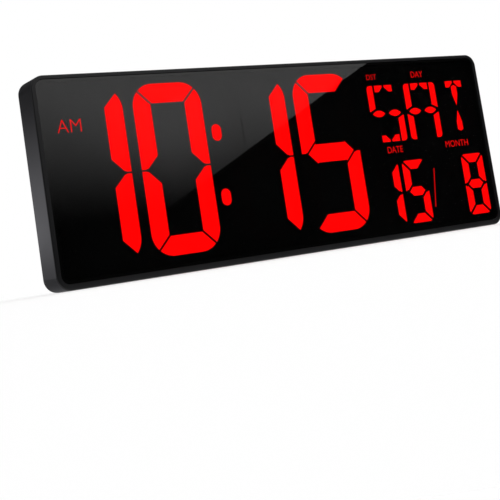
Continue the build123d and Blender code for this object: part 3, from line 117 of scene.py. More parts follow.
class MarkSettings(bpy.types.PropertyGroup):
    """Printed marks and the small ribs on the back."""

    ink: colour("Ink", "#a9a9a6", "Pale grey pad-printed ink")
    ink_height: length("Mark height", 2.4, "Letter height of the printed marks")
    ink_film: length("Ink thickness", 0.03, "Thickness of the printed ink")
    rib_count: IntProperty(name="Cap ribs", description="Grip ribs round the battery cap", min=3, default=44)
    rib_width: length("Rib width", 0.5, "Width of a grip rib")
    rib_height: length("Rib height", 0.2, "Height of a grip rib")
    tread_count: IntProperty(name="Tread ribs", description="Ribs on each rubber tip", min=1, default=4)
    mesh_pitch: length("Dust mesh pitch", 1.3, "Spacing of the wires behind the vents")
    mesh_wire: length("Dust mesh wire", 0.3, "Thickness of the wires behind the vents")


class StageSettings(bpy.types.PropertyGroup):
    """Floor, light and camera."""

    floor: colour("Floor", "#f6f6f6", "Pale floor")
    white: colour("Backdrop", "#ffffff", "White all round")
    sky: strength("Sky light", 0.8, "Strength of the even light all round")
    key: strength("Key light", 1.0, "Strength of the main soft lamp")
    fill: strength("Fill light", 0.7, "Strength of the second soft lamp")
    lens: FloatProperty(name="Camera lens", description="Focal length", unit="CAMERA", default=83.52)


SETTINGS = {
    "clock_case": CaseSettings,
    "clock_panel": PanelSettings,
    "clock_marks": MarkSettings,
    "clock_stage": StageSettings,
}


def add_node(tree, kind, inputs=None, **attributes):
    """Add a node with its attributes, socket values and links."""
    made = tree.nodes.new(kind)
    for name, value in attributes.items():
        setattr(made, name, value)
    for name, value in (inputs or {}).items():
        if isinstance(value, bpy.types.NodeSocket):
            tree.links.new(value, made.inputs[name])
        else:
            made.inputs[name].default_value = value
    return made


def new_material(name):
    """An empty node material, its tree and the coordinates of the piece in metres."""
    material = bpy.data.materials.new(name)
    material.use_nodes = True
    tree = material.node_tree
    tree.nodes.clear()
    place = add_node(tree, "ShaderNodeTexCoord").outputs["Object"]
    return material, tree, place


def shade(tint, factor):
    """The same colour, brighter or darker by a factor."""
    return [min(1.0, c * factor) for c in tint[:3]] + [1.0]


# A colour Mix node's sockets share their names with those of its other types, so they go by number
MIX_FACTOR, MIX_FIRST, MIX_SECOND, MIX_RESULT = 0, 6, 7, 2


def mottled(tree, factor, tint, dark, light, smooth, rough):
    """Shader inputs for a colour and a roughness that both follow one pattern."""
    body = add_node(
        tree,
        "ShaderNodeMix",
        {MIX_FACTOR: factor, MIX_FIRST: shade(tint, dark), MIX_SECOND: shade(tint, light)},
        data_type="RGBA",
    )
    sheen = add_node(tree, "ShaderNodeMapRange", {"Value": factor, "To Min": smooth, "To Max": rough})
    return {"Base Color": body.outputs[MIX_RESULT], "Roughness": sheen.outputs["Result"]}


def surface(material, inputs):
    """Finish a material with one surface shader."""
    tree = material.node_tree
    shader = add_node(tree, "ShaderNodeBsdfPrincipled", inputs)
    add_node(tree, "ShaderNodeOutputMaterial", {"Surface": shader.outputs["BSDF"]})
    return material


# Octaves of the patterns: soft patches, and grain or streaks with finer detail
SOFT_DETAIL = 2.0
FINE_DETAIL = 3.0
# Refraction of the plain plastics, and of the case's waxed finish, which mirrors less
ABS_IOR = 1.54
WAXED_IOR = 1.38
# How strongly the grain of the mould tilts the light
GRAIN_BUMP = 0.6
# Flow marks of a large moulding, and how far they shift its colour and sheen
FLOW_MARK = 35 * MM
FLOW_DARK, FLOW_LIGHT = 0.85, 1.15
FLOW_SMOOTH, FLOW_ROUGH = -0.05, 0.07


def moulded_plastic(name, tint, roughness, grain, relief, ior=ABS_IOR):
    """Injection moulding: the mould's grain breaks up the highlight, and flow marks mottle the sheen."""
    material, tree, place = new_material(name)
    fine = add_node(tree, "ShaderNodeTexNoise", {"Vector": place, "Scale": 1 / grain, "Detail": FINE_DETAIL})
    flow = add_node(
        tree, "ShaderNodeTexNoise", {"Vector": place, "Scale": 1 / FLOW_MARK, "Detail": SOFT_DETAIL}
    )
    bump = add_node(
        tree, "ShaderNodeBump", {"Height": fine.outputs["Fac"], "Strength": GRAIN_BUMP, "Distance": relief}
    )
    looks = mottled(
        tree,
        flow.outputs["Fac"],
        tint,
        dark=FLOW_DARK,
        light=FLOW_LIGHT,
        smooth=roughness + FLOW_SMOOTH,
        rough=roughness + FLOW_ROUGH,
    )
    return surface(material, {**looks, "IOR": ior, "Normal": bump.outputs["Normal"]})


# Polished faces: wipe marks and the flow of the ink shift the sheen by less than the eye can follow
POLISH_SMOOTH, POLISH_ROUGH = 0.0, 0.012
WIPE_MARK = 60 * MM
INK_FLOW = 45 * MM
INK_DARK, INK_LIGHT = 0.7, 1.3
# Refraction of the panel's coat against glare, of the hard gloss ink behind it, and of the ink on its edge
COATED_IOR = 1.3
GLOSS_INK_IOR = 1.72
EDGE_INK_IOR = 1.51


def smoked_acrylic(name, panel):
    """Cast smoked acrylic with a coat against glare: it darkens what lies behind and hardly shines."""
    material, tree, place = new_material(name)
    wipe = add_node(
        tree, "ShaderNodeTexNoise", {"Vector": place, "Scale": 1 / WIPE_MARK, "Detail": SOFT_DETAIL}
    )
    sheen = add_node(
        tree,
        "ShaderNodeMapRange",
        {"Value": wipe.outputs["Fac"], "To Min": POLISH_SMOOTH, "To Max": POLISH_ROUGH},
    )
    return surface(material, {
        "Base Color": panel.tint,
        "Roughness": sheen.outputs["Result"],
        "IOR": COATED_IOR,
        "Alpha": panel.cover,
    })


def gloss_black(name, tint, ior=GLOSS_INK_IOR):
    """Gloss black ink or resin: so smooth that lamps show in it with sharp edges, like a dark mirror."""
    material, tree, place = new_material(name)
    flow = add_node(
        tree, "ShaderNodeTexNoise", {"Vector": place, "Scale": 1 / INK_FLOW, "Detail": SOFT_DETAIL}
    )
    looks = mottled(tree, flow.outputs["Fac"], tint, INK_DARK, INK_LIGHT, POLISH_SMOOTH, POLISH_ROUGH)
    return surface(material, {**looks, "IOR": ior})


# Frost of the diffusers, which scatters so much that hardly any light comes back as gloss
FROST = 0.6 * MM
FROST_SMOOTH, FROST_ROUGH = 0.45, 0.65
FROSTED_IOR = 1.1
# Share of the glow's colour that the diffuser has when no lamp is on behind it
FROST_BODY_SHARE = 0.3


def lit_diffuser(name, tint, glow):
    """Frosted polycarbonate lit from behind: an even glow with a fine frost and no gloss of its own."""
    material, tree, place = new_material(name)
    frost = add_node(
        tree, "ShaderNodeTexNoise", {"Vector": place, "Scale": 1 / FROST, "Detail": SOFT_DETAIL}
    )
    sheen = add_node(
        tree,
        "ShaderNodeMapRange",
        {"Value": frost.outputs["Fac"], "To Min": FROST_SMOOTH, "To Max": FROST_ROUGH},
    )
    return surface(material, {
        "Base Color": shade(tint, FROST_BODY_SHARE),
        "Roughness": sheen.outputs["Result"],
        "IOR": FROSTED_IOR,
        "Emission Color": tint,
        "Emission Strength": glow,
    })


# Spacing of the copper runs, their share of it, and the lacquer over them
BOARD_RUN = 12 * MM
RUN_WIDTH_SHARE = 0.03
LACQUER_ROUGHNESS = 0.3
LACQUER_IOR = 1.5


def solder_mask(name):
    """Glass-fibre board under green solder mask: glossy lacquer with lighter copper runs below it."""
    material, tree, place = new_material(name)
    runs = add_node(tree, "ShaderNodeTexBrick", {
        "Vector": place,
        "Color1": srgb("#0f4a2a"),
        "Color2": srgb("#11502d"),
        "Mortar": srgb("#1c6b3c"),
        "Scale": 1 / BOARD_RUN,
        "Mortar Size": RUN_WIDTH_SHARE,
    })
    return surface(
        material,
        {"Base Color": runs.outputs["Color"], "Roughness": LACQUER_ROUGHNESS, "IOR": LACQUER_IOR},
    )


# How much longer than wide a drawing streak is, how dark it is and how far it shifts the sheen
STREAK_STRETCH = 10.0
STREAK_DARK, STREAK_LIGHT = 0.85, 1.0
STREAK_SMOOTH, STREAK_ROUGH = -0.06, 0.08


def drawn_metal(name, tint, roughness, streak):
    """Drawn or plated metal: a bright mirror softened by fine streaks along the sheet."""
    material, tree, place = new_material(name)
    scale = (1 / streak, 1 / streak, 1 / (streak * STREAK_STRETCH))
    drawn = add_node(tree, "ShaderNodeMapping", {"Vector": place, "Scale": scale})
    lines = add_node(
        tree, "ShaderNodeTexNoise", {"Vector": drawn.outputs["Vector"], "Scale": 1.0, "Detail": FINE_DETAIL}
    )
    looks = mottled(
        tree,
        lines.outputs["Fac"],
        tint,
        dark=STREAK_DARK,
        light=STREAK_LIGHT,
        smooth=roughness + STREAK_SMOOTH,
        rough=roughness + STREAK_ROUGH,
    )
    return surface(material, {**looks, "Metallic": 1.0})


# Pits of the rubber, how deep they are and how they tilt the light, and the patches of dust
RUBBER_PIT = 0.9 * MM
RUBBER_RELIEF = 0.05 * MM
RUBBER_BUMP = 0.3
RUBBER_DUST = 6 * MM


def soft_rubber(name, tint):
    """Moulded rubber: dull, dark and faintly pitted, with a bloom of dust."""
    material, tree, place = new_material(name)
    pits = add_node(tree, "ShaderNodeTexVoronoi", {"Vector": place, "Scale": 1 / RUBBER_PIT})
    bump = add_node(
        tree,
        "ShaderNodeBump",
        {"Height": pits.outputs["Distance"], "Strength": RUBBER_BUMP, "Distance": RUBBER_RELIEF},
    )
    dust = add_node(tree, "ShaderNodeTexNoise", {"Vector": place, "Scale": 1 / RUBBER_DUST})
    looks = mottled(tree, dust.outputs["Fac"], tint, dark=0.8, light=1.3, smooth=0.7, rough=0.9)
    return surface(material, {**looks, "Normal": bump.outputs["Normal"]})


# Width of the thin patches in a print
INK_PATCH = 0.7 * MM


def printed_ink(name, tint):
    """Pad-printed ink: a thin flat film, a little patchy."""
    material, tree, place = new_material(name)
    patch = add_node(
        tree, "ShaderNodeTexNoise", {"Vector": place, "Scale": 1 / INK_PATCH, "Detail": SOFT_DETAIL}
    )
    looks = mottled(tree, patch.outputs["Fac"], tint, dark=0.88, light=1.05, smooth=0.5, rough=0.7)
    return surface(material, looks)


def put_on(material, slot):
    """Give a finish to every CAD node of one material slot."""
    for part in frame["record"]["subparts"]:
        if part["material_slot"] == slot:
            node = frame["nodes"][part["node"]]
            if not node.data.materials:
                node.data.materials.append(material)
            for holder in node.material_slots:
                holder.material = material


def as_mesh(source, name):
    """The evaluated shape of an object as a plain mesh, with the source removed."""
    graph = bpy.context.evaluated_depsgraph_get()
    mesh = bpy.data.meshes.new_from_object(source.evaluated_get(graph), depsgraph=graph)
    bpy.data.objects.remove(source)
    mesh.name = name
    return mesh


# Points of one piece that are closer than this are one point
MERGE = 0.001 * MM
# Faces smaller than this are slivers
SLIVER = 0.0001 * MM**2


def keep_piece(name, meshes, material, body):
    """Join meshes that are in the row frame into one closed piece that rides on a body."""
    joined = bmesh.new()
    for mesh in meshes:
        joined.from_mesh(mesh)
        bpy.data.meshes.remove(mesh)
    bmesh.ops.remove_doubles(joined, verts=joined.verts, dist=MERGE)
    bmesh.ops.triangulate(joined, faces=joined.faces)
    # A letter's fill leaves flat slivers along straight runs, and turning their long edge opens them
    for face in [f for f in joined.faces if f.calc_area() < SLIVER]:
        if face.is_valid and face.calc_area() < SLIVER:
            bmesh.utils.edge_rotate(max(face.edges, key=lambda edge: edge.calc_length()))
    bmesh.ops.recalc_face_normals(joined, faces=joined.faces)
    whole = bpy.data.meshes.new(name)
    joined.to_mesh(whole)
    joined.free()
    whole.materials.append(material)
    for polygon in whole.polygons:
        polygon.material_index = 0
        polygon.use_smooth = False
    piece = bpy.data.objects.new(name, whole)
    bpy.context.scene.collection.objects.link(piece)
    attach(piece, body)
    return piece


# Steps of a rounded corner and of a letter's curves, and how deep a letter is before it is fitted
CORNER_STEPS = 10
LETTER_STEPS = 4
LETTER_EXTRUDE = 0.05
# How the flat drawing of a mark, x right and y up, stands on a side of the clock
ON_FRONT = Matrix(((1, 0, 0), (0, 0, -1), (0, 1, 0)))
ON_BACK = Matrix(((-1, 0, 0), (0, 0, 1), (0, 1, 0)))
ON_RIGHT = Matrix(((0, 0, 1), (1, 0, 0), (0, 1, 0)))


def word_mesh(text, centre, size, turn, thickness, weight=0.0):
    """A word as a thin mesh, fitted to a width and height, its back on a point of the row frame."""
    letters = bpy.data.curves.new(text, "FONT")
    letters.body = text
    letters.extrude = LETTER_EXTRUDE
    letters.offset = weight
    letters.resolution_u = LETTER_STEPS
    source = bpy.data.objects.new(text, letters)
    bpy.context.scene.collection.objects.link(source)
    mesh = as_mesh(source, text)
    low = Vector([min(v.co[i] for v in mesh.vertices) for i in range(3)])
    high = Vector([max(v.co[i] for v in mesh.vertices) for i in range(3)])
    span = high - low
    height = size[1]
    width = size[0] or height * span.x / span.y
    for v in mesh.vertices:
        flat = Vector((
            ((v.co.x - low.x) / span.x - 0.5) * width,
            ((v.co.y - low.y) / span.y - 0.5) * height,
            (v.co.z - low.z) / span.z * thickness,
        ))
        v.co = turn @ flat + centre
    return mesh


def prism_mesh(outline, centre, turn, thickness):
    """A flat shape given by its corners, as a thin prism."""
    count = len(outline)
    points = [turn @ Vector((x, y, z)) + centre for z in (0, thickness) for x, y in outline]
    faces = [list(range(count))[::-1], list(range(count, 2 * count))]
    for i in range(count):
        j = (i + 1) % count
        faces.append([i, j, count + j, count + i])
    mesh = bpy.data.meshes.new("prism")
    mesh.from_pydata(points, [], faces)
    return mesh


def rounded_outline(low, high, radius, inset):
    """Corners of an upright rounded rectangle, drawn in by an inset, all round from the lower right."""
    points = []
    turns = [math.radians(90 * step / CORNER_STEPS) for step in range(CORNER_STEPS + 1)]
    for corner, (x, z) in enumerate(((high.x, low.z), (high.x, high.z), (low.x, high.z), (low.x, low.z))):
        middle_x = x + radius * (1 if x == low.x else -1)
        middle_z = z + radius * (1 if z == low.z else -1)
        for turn in turns:
            angle = turn + math.radians(90 * (corner - 1))
            reach = radius - inset
            points.append((middle_x + reach * math.cos(angle), middle_z + reach * math.sin(angle)))
    return points


def ring_mesh(outer, inner, back, thickness):
    """A flat ring between two outlines of the same number of corners, on a plane that faces the front."""
    count = len(outer)
    points = []
    for depth in (back, back - thickness):
        points += [Vector((x, depth, z)) for x, z in outer]
        points += [Vector((x, depth, z)) for x, z in inner]
    faces = []
    for i in range(count):
        j = (i + 1) % count
        outer_back, inner_back, outer_front, inner_front = (
            (start + i, start + j) for start in (0, count, 2 * count, 3 * count)
        )
        for first, second in (
            (outer_back, inner_back),
            (inner_back, inner_front),
            (inner_front, outer_front),
            (outer_front, outer_back),
        ):
            faces.append([first[0], first[1], second[1], second[0]])
    mesh = bpy.data.meshes.new("ring")
    mesh.from_pydata(points, [], faces)
    return mesh


# Named inputs of the repeat trees
LINE_SOCKETS = (("Start", "NodeSocketVector"), ("Step", "NodeSocketVector"))
RING_SOCKETS = (("Radius", "NodeSocketFloat"),)
BAR_SOCKETS = (("Count", "NodeSocketInt"), ("Bar", "NodeSocketVector"), ("Material", "NodeSocketMaterial"))


def repeat_tree(name, line):
    """A node tree that sets bars along a line or round a ring, with named sizes."""
    tree = bpy.data.node_groups.new(name, "GeometryNodeTree")
    for label, kind in BAR_SOCKETS + (LINE_SOCKETS if line else RING_SOCKETS):
        tree.interface.new_socket(label, in_out="INPUT", socket_type=kind)
    tree.interface.new_socket("Geometry", in_out="OUTPUT", socket_type="NodeSocketGeometry")
    given = add_node(tree, "NodeGroupInput").outputs
    bar = add_node(tree, "GeometryNodeMeshCube", {"Size": given["Bar"]})
    if line:
        row = add_node(
            tree,
            "GeometryNodeMeshLine",
            {"Count": given["Count"], "Start Location": given["Start"], "Offset": given["Step"]},
        )
        turn = (0.0, 0.0, 0.0)
    else:
        row = add_node(
            tree, "GeometryNodeMeshCircle", {"Vertices": given["Count"], "Radius": given["Radius"]}
        )
        outward = add_node(tree, "GeometryNodeInputPosition").outputs[0]
        turn = add_node(tree, "FunctionNodeAlignRotationToVector", {"Vector": outward}, axis="X").outputs[0]
    bars = add_node(
        tree,
        "GeometryNodeInstanceOnPoints",
        {"Points": row.outputs["Mesh"], "Instance": bar.outputs["Mesh"], "Rotation": turn},
    )
    solid = add_node(tree, "GeometryNodeRealizeInstances", {"Geometry": bars.outputs["Instances"]})
    dressed = add_node(
        tree,
        "GeometryNodeSetMaterial",
        {"Geometry": solid.outputs["Geometry"], "Material": given["Material"]},
    )
    add_node(tree, "NodeGroupOutput", {"Geometry": dressed.outputs["Geometry"]})
    return tree


def repeat_mesh(tree, values, turn=None, centre=None):
    """Run a repeat tree with its inputs set and return its mesh in the row frame."""
    holder = bpy.data.objects.new(tree.name, bpy.data.meshes.new(tree.name))
    bpy.context.scene.collection.objects.link(holder)
    modifier = holder.modifiers.new(tree.name, "NODES")
    modifier.node_group = tree
    for item in tree.interface.items_tree:
        if item.in_out == "INPUT":
            modifier[item.identifier] = values[item.name]
    mesh = as_mesh(holder, tree.name)
    if turn is not None:
        for v in mesh.vertices:
            v.co = turn @ v.co + centre
    return mesh


# Roughness of the dull mouldings, how high the grain stands on each, and how wide it is on the wells
COVER_ROUGHNESS = 0.5
WELL_ROUGHNESS = 0.7
CASE_RELIEF = 0.02 * MM
COVER_RELIEF = 0.4 * MM
WELL_GRAIN, WELL_RELIEF = 0.5 * MM, 0.02 * MM


class CLOCK_OT_case(bpy.types.Operator):
    """Give the moulded case and rear cover their satin and matt grain"""

    bl_idname = "clock.case"
    bl_label = "Case and cover"

    def execute(self, context):
        case = context.scene.clock_case
        # Polished mould: only a faint ripple under a soft sheen
        satin = moulded_plastic("satin_black_abs", case.case, case.gloss, case.grain, CASE_RELIEF, WAXED_IOR)
        put_on(satin, "case_abs")
        # Spark-eroded mould: a dull, even tooth that hides finger marks
        matt = moulded_plastic("matt_black_abs", case.cover, COVER_ROUGHNESS, case.tooth, COVER_RELIEF)
        put_on(matt, "cover_abs")
        return {"FINISHED"}


class CLOCK_OT_panel(bpy.types.Operator):
    """Dress the smoked panel, its tape, the mask film and the well plate"""

    bl_idname = "clock.panel"
    bl_label = "Smoked panel"

    def execute(self, context):
        panel = context.scene.clock_panel
        put_on(smoked_acrylic("smoked_acrylic", panel), "smoked_acrylic")
        put_on(gloss_black("black_panel_tape", panel.film), "foam_tape")
        put_on(gloss_black("black_mask_film", panel.film), "mask_film")
        # Moulded wells: dull black, so that no light strays from one segment to the next
        wells = moulded_plastic("black_well_plate", panel.film, WELL_ROUGHNESS, WELL_GRAIN, WELL_RELIEF)
        put_on(wells, "well_plate")
        return {"FINISHED"}


# The panel's rounded corner and the bevel round its front face
PANEL_CORNER = 6.25 * MM
PANEL_BEVEL = 0.25 * MM


class CLOCK_OT_border(bpy.types.Operator):
    """Print the gloss black border round the open edge of the panel"""

    bl_idname = "clock.border"
    bl_label = "Panel border"

    def execute(self, context):
        panel = context.scene.clock_panel
        low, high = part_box("front_lens")
        outer = rounded_outline(low, high, PANEL_CORNER, PANEL_BEVEL)
        inner = rounded_outline(low, high, PANEL_CORNER, PANEL_BEVEL + panel.border)
        ring = ring_mesh(outer, inner, low.y, panel.ink_film)
        ink = gloss_black("black_border_ink", panel.border_ink, EDGE_INK_IOR)
        border = keep_piece("panel_border", [ring], ink, BODY)
        # Mirrored rays pass the ink, so that it draws no dark line on the gloss behind the panel
        border.visible_glossy = False
        return {"FINISHED"}


class CLOCK_OT_figures(bpy.types.Operator):
    """Light the red segments that show the time, weekday and date"""

    bl_idname = "clock.figures"
    bl_label = "Lit figures"

    def execute(self, context):
        panel = context.scene.clock_panel
        put_on(lit_diffuser("lit_red_diffuser", panel.lit, panel.glow), "lit_red")
        # The thin slash gets less light through its narrow window
        slash = lit_diffuser("dim_red_diffuser", panel.lit, panel.slash_glow)
        for holder in frame["nodes"]["date_slash"].material_slots:
            holder.material = slash
        put_on(gloss_black("unlit_diffuser", panel.unlit), "unlit_red")
        return {"FINISHED"}


# Display words: text, left and right, top and bottom in millimetres from the face's top left corner, and
# how far the strokes are thinned, as a share of the letter's size
WORDS = (
    ("AM", (16.6, 35.1), (32.2, 41.5), -0.018),
    ("DST", (297.4, 307.8), (12.5, 16.9), -0.012),
    ("DAY", (345.9, 359.0), (11.9, 17.1), -0.004),
    ("DATE", (307.3, 323.6), (74.5, 79.8), -0.004),
    ("MONTH", (371.7, 397.6), (74.3, 79.8), -0.004),
)


class CLOCK_OT_words(bpy.types.Operator):
    """Print the small display words in lit ink on the mask film"""

    bl_idname = "clock.words"
    bl_label = "Display words"

    def execute(self, context):
        panel = context.scene.clock_panel
        low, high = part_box("front_case")
        film_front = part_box("mask_film")[0].y
        meshes = []
        for text, across, down, weight in WORDS:
            centre = Vector((low.x + sum(across) / 2 * MM, film_front, high.z - sum(down) / 2 * MM))
            size = ((across[1] - across[0]) * MM, (down[1] - down[0]) * MM)
            meshes.append(word_mesh(text, centre, size, ON_FRONT, panel.ink_film, weight))
        glow = lit_diffuser("lit_word_ink", panel.lit, panel.word_glow)
        keep_piece("display_words", meshes, glow, BODY)
        return {"FINISHED"}


# Plastics inside, by slot: finish, colour, roughness, and the width and height of the grain in millimetres
INSIDE_PLASTICS = {
    # Cream resin lamps with a soft gloss
    "led_white": ("led_resin", "#e0d8c4", 0.3, 0.4, 0.01),
    # Chip bodies: dull black with a sandy tooth
    "chip_epoxy": ("chip_epoxy", "#1c1c1c", 0.6, 0.4, 0.02),
    # Sensor beads: smooth, almost black plum that lets only infra-red through
    "sensor_epoxy": ("dark_sensor_epoxy", "#150f14", 0.2, 0.4, 0.01),
    # Pressed paper cone: dead matt with a felted surface
    "speaker_paper": ("coated_paper_cone", "#262626", 0.8, 0.6, 0.05),
    # Undyed nylon plungers: a waxy mid grey
    "plunger_plastic": ("plunger_nylon", "#8a8a86", 0.5, 0.5, 0.02),
}
# Metals inside, by slot: finish, colour, roughness, and the width of the drawing streaks in millimetres
INSIDE_METALS = {
    # Tinned cans: pale and a little cloudy
    "tin_can": ("drawn_can", "#dcdcdd", 0.3, 0.6),
    # Nickel springs: bright with a warm cast
    "contact_metal": ("nickel_contact", "#d9d4c4", 0.25, 0.5),
    # Plated speaker steel: the dullest and greyest
    "speaker_steel": ("plated_speaker_steel", "#b8b8ba", 0.35, 0.6),
    # Stainless cell can: bright and neutral
    "cell_steel": ("stainless_cell_can", "#d6d6d6", 0.25, 0.5),
}


class CLOCK_OT_electronics(bpy.types.Operator):
    """Dress the boards, chips, contacts, speaker and coin cell inside"""

    bl_idname = "clock.electronics"
    bl_label = "Inside parts"

    def execute(self, context):
        put_on(solder_mask("green_solder_mask"), "board_green")
        for slot, (name, code, roughness, grain, relief) in INSIDE_PLASTICS.items():
            put_on(moulded_plastic(name, srgb(code), roughness, grain * MM, relief * MM), slot)
        for slot, (name, code, roughness, streak) in INSIDE_METALS.items():
            put_on(drawn_metal(name, srgb(code), roughness, streak * MM), slot)
        return {"FINISHED"}


# Roughness of what is handled on the back, and how high its grain stands
KEY_ROUGHNESS, KEY_RELIEF = 0.42, 0.03 * MM
LEG_ROUGHNESS, LEG_RELIEF = 0.45, 0.04 * MM
# Steel on the back: roughness of the plated screws and the drawn pins, and the width of their streaks
SCREW_ROUGHNESS = 0.38
PIN_ROUGHNESS = 0.25
STEEL_STREAK = 0.4 * MM


class CLOCK_OT_back(bpy.types.Operator):
    """Dress the buttons, battery cap, legs, tips, screws and hinge pins"""

    bl_idname = "clock.back"
    bl_label = "Buttons and legs"

    def execute(self, context):
        case = context.scene.clock_case
        # Handled parts: a shade paler and smoother than the cover, so they are found by eye and finger
        keys = moulded_plastic("satin_grey_abs", case.keys, KEY_ROUGHNESS, case.grain, KEY_RELIEF)
        put_on(keys, "button_abs")
        legs = moulded_plastic("leg_black_abs", case.legs, LEG_ROUGHNESS, case.grain, LEG_RELIEF)
        put_on(legs, "leg_abs")
        put_on(soft_rubber("tip_rubber", case.rubber), "tip_rubber")
        # Black-plated screws: dark, with a dull glint on each head
        put_on(drawn_metal("black_zinc_screw", srgb("#3a3a3c"), SCREW_ROUGHNESS, STEEL_STREAK), "zinc_screw")
        # Drawn pins: bright, with streaks along the wire
        put_on(drawn_metal("bright_drawn_steel", srgb("#cfcfd0"), PIN_ROUGHNESS, STEEL_STREAK), "pin_steel")
        return {"FINISHED"}


# Button and the mark under it
KEY_MARKS = (("set", "SET"), ("alarm", "ALARM"), ("up", "+"), ("down", "-"), ("light", "LIGHT"))
# Distances of the marks from what they name, and shares of the mark height
KEY_DROP = 3.2 * MM
CAP_WORD_RISE = 5.0 * MM
CAP_WORD_REACH = 9.0 * MM
CAP_ARROW_REACH = 17.0 * MM
INLET_RISE = 5.0 * MM
MINUS_HALF_SHARE, MINUS_BAR_SHARE = 0.42, 0.1
ARROW = ((-1.0, -0.5), (0.6, 0.0), (-1.0, 0.5))
ARROW_DROP_SHARE = 0.4


class CLOCK_OT_marks(bpy.types.Operator):
    """Print the generic marks beside the buttons, the battery cap and the inlet"""

    bl_idname = "clock.marks"
    bl_label = "Printed marks"

    def execute(self, context):
        marks = context.scene.clock_marks
        tall, film = marks.ink_height, marks.ink_film
        meshes = []
        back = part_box("rear_cover")[1].y
        for button, text in KEY_MARKS:
            low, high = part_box(f"{button}_button")
            place = Vector(((low.x + high.x) / 2, back, low.z - KEY_DROP))
            if text == "-":
                half, bar = tall * MINUS_HALF_SHARE, tall * MINUS_BAR_SHARE
                outline = ((-half, -bar), (half, -bar), (half, bar), (-half, bar))
                meshes.append(prism_mesh(outline, place, ON_BACK, film))
            else:
                meshes.append(word_mesh(text, place, (None, tall), ON_BACK, film))
        low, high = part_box("battery_cap")
        middle = (low.x + high.x) / 2
        line = high.z + CAP_WORD_RISE
        for text, side in (("OPEN", 1), ("CLOSE", -1)):
            place = Vector((middle + side * CAP_WORD_REACH, back, line))
            meshes.append(word_mesh(text, place, (None, tall), ON_BACK, film))
            point = Vector((middle + side * CAP_ARROW_REACH, back, line - tall * ARROW_DROP_SHARE))
            outline = [(-side * x * tall, y * tall) for x, y in ARROW]
            meshes.append(prism_mesh(outline, point, ON_BACK, film))
        low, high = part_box("power_jack")
        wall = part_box("front_case")[1].x
        place = Vector((wall, (low.y + high.y) / 2, high.z + INLET_RISE))
        meshes.append(word_mesh("DC 5V", place, (None, tall), ON_RIGHT, film))
        keep_piece("printed_marks", meshes, printed_ink("pale_pad_ink", marks.ink), BODY)
        return {"FINISHED"}


# Ribs run across the outer part of the cap's face, and each tread bar over most of its tip
RIB_RING_SHARE, RIB_LENGTH_SHARE = 0.85, 0.18
TREAD_WIDTH_SHARE, TREAD_BAR_SHARE = 0.8, 0.45


class CLOCK_OT_ribs(bpy.types.Operator):
    """Set the grip ribs on the battery cap and the tread on the rubber tips"""

    bl_idname = "clock.ribs"
    bl_label = "Grip ribs and tread"

    def execute(self, context):
        marks = context.scene.clock_marks
        low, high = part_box("battery_cap")
        ring = repeat_tree("cap_grip_ribs", line=False)
        centre = Vector(((low.x + high.x) / 2, high.y, (low.z + high.z) / 2))
        finish = frame["nodes"]["battery_cap"].material_slots[0].material
        cap_radius = (high.z - low.z) / 2
        # Each bar is sunk by half its height, so that half of it stands up as the rib
        ribs = repeat_mesh(
            ring,
            {
                "Count": marks.rib_count,
                "Radius": cap_radius * RIB_RING_SHARE,
                "Bar": (cap_radius * RIB_LENGTH_SHARE, marks.rib_width, 2 * marks.rib_height),
                "Material": finish,
            },
            ON_BACK,
            centre,
        )
        keep_piece("cap_grip_ribs", [ribs], finish, "battery_cap")
        row = repeat_tree("tip_tread", line=True)
        for side in ("left", "right"):
            low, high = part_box(f"{side}_leg_tip")
            rubber = frame["nodes"][f"{side}_leg_tip"].material_slots[0].material
            width = (high.x - low.x) * TREAD_WIDTH_SHARE
            step = (high.z - low.z) / (marks.tread_count + 1)
            tread = repeat_mesh(
                row,
                {
                    "Count": marks.tread_count,
                    "Start": ((low.x + high.x) / 2, high.y, low.z + step),
                    "Step": (0.0, 0.0, step),
                    "Bar": (width, 2 * marks.rib_height, step * TREAD_BAR_SHARE),
                    "Material": rubber,
                },
            )
            keep_piece(f"{side}_tip_tread", [tread], rubber, f"{side}_leg")
        return {"FINISHED"}


# The cover's wall, the field of vent slots with a margin, how far the wires are pressed into the wall
# and into each other, and their finish
COVER_WALL = 2.2 * MM
VENT_WIDE, VENT_TALL, VENT_RISE = 52.0 * MM, 26.0 * MM, 89.75 * MM
WIRE_SINK = 0.05 * MM
WIRE_ROUGHNESS, WIRE_STREAK = 0.45, 0.5 * MM


class CLOCK_OT_dust_mesh(bpy.types.Operator):
    """Stretch a fine wire mesh behind the vent slots"""

    bl_idname = "clock.dust_mesh"
    bl_label = "Vent mesh"

    def execute(self, context):
        marks = context.scene.clock_marks
        wire, pitch = marks.mesh_wire, marks.mesh_pitch
        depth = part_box("rear_cover")[1].y - COVER_WALL - wire / 2 + WIRE_SINK
        # Black-plated wire: dull, with a thin glint along each strand
        finish = drawn_metal("black_wire_mesh", srgb("#2a2a2b"), WIRE_ROUGHNESS, WIRE_STREAK)
        row = repeat_tree("vent_wires", line=True)
        meshes = []
        for along, reach, layer, bar in (
            (Vector((1, 0, 0)), VENT_WIDE, depth, (wire, wire, VENT_TALL)),
            (Vector((0, 0, 1)), VENT_TALL, depth - wire + WIRE_SINK, (VENT_WIDE, wire, wire)),
        ):
            count = round(reach / pitch)
            middle = Vector((0.0, layer, VENT_RISE))
            meshes.append(repeat_mesh(row, {
                "Count": count,
                "Start": middle - along * pitch * (count - 1) / 2,
                "Step": along * pitch,
                "Bar": bar,
                "Material": finish,
            }))
        keep_piece("vent_dust_mesh", meshes, finish, BODY)
        return {"FINISHED"}


# The studio, in metres: the floor just under the clock, and how far it goes
FLOOR_DROP = 0.2 * MM
FLOOR_REACH = 8.0
# Directions that the two soft suns shine from, and how wide they look, in radians
SUNS = {"key": (-0.6, -0.8, 0.6), "fill": (0.5, 0.8, 0.6)}
SUN_ANGLE = 0.9
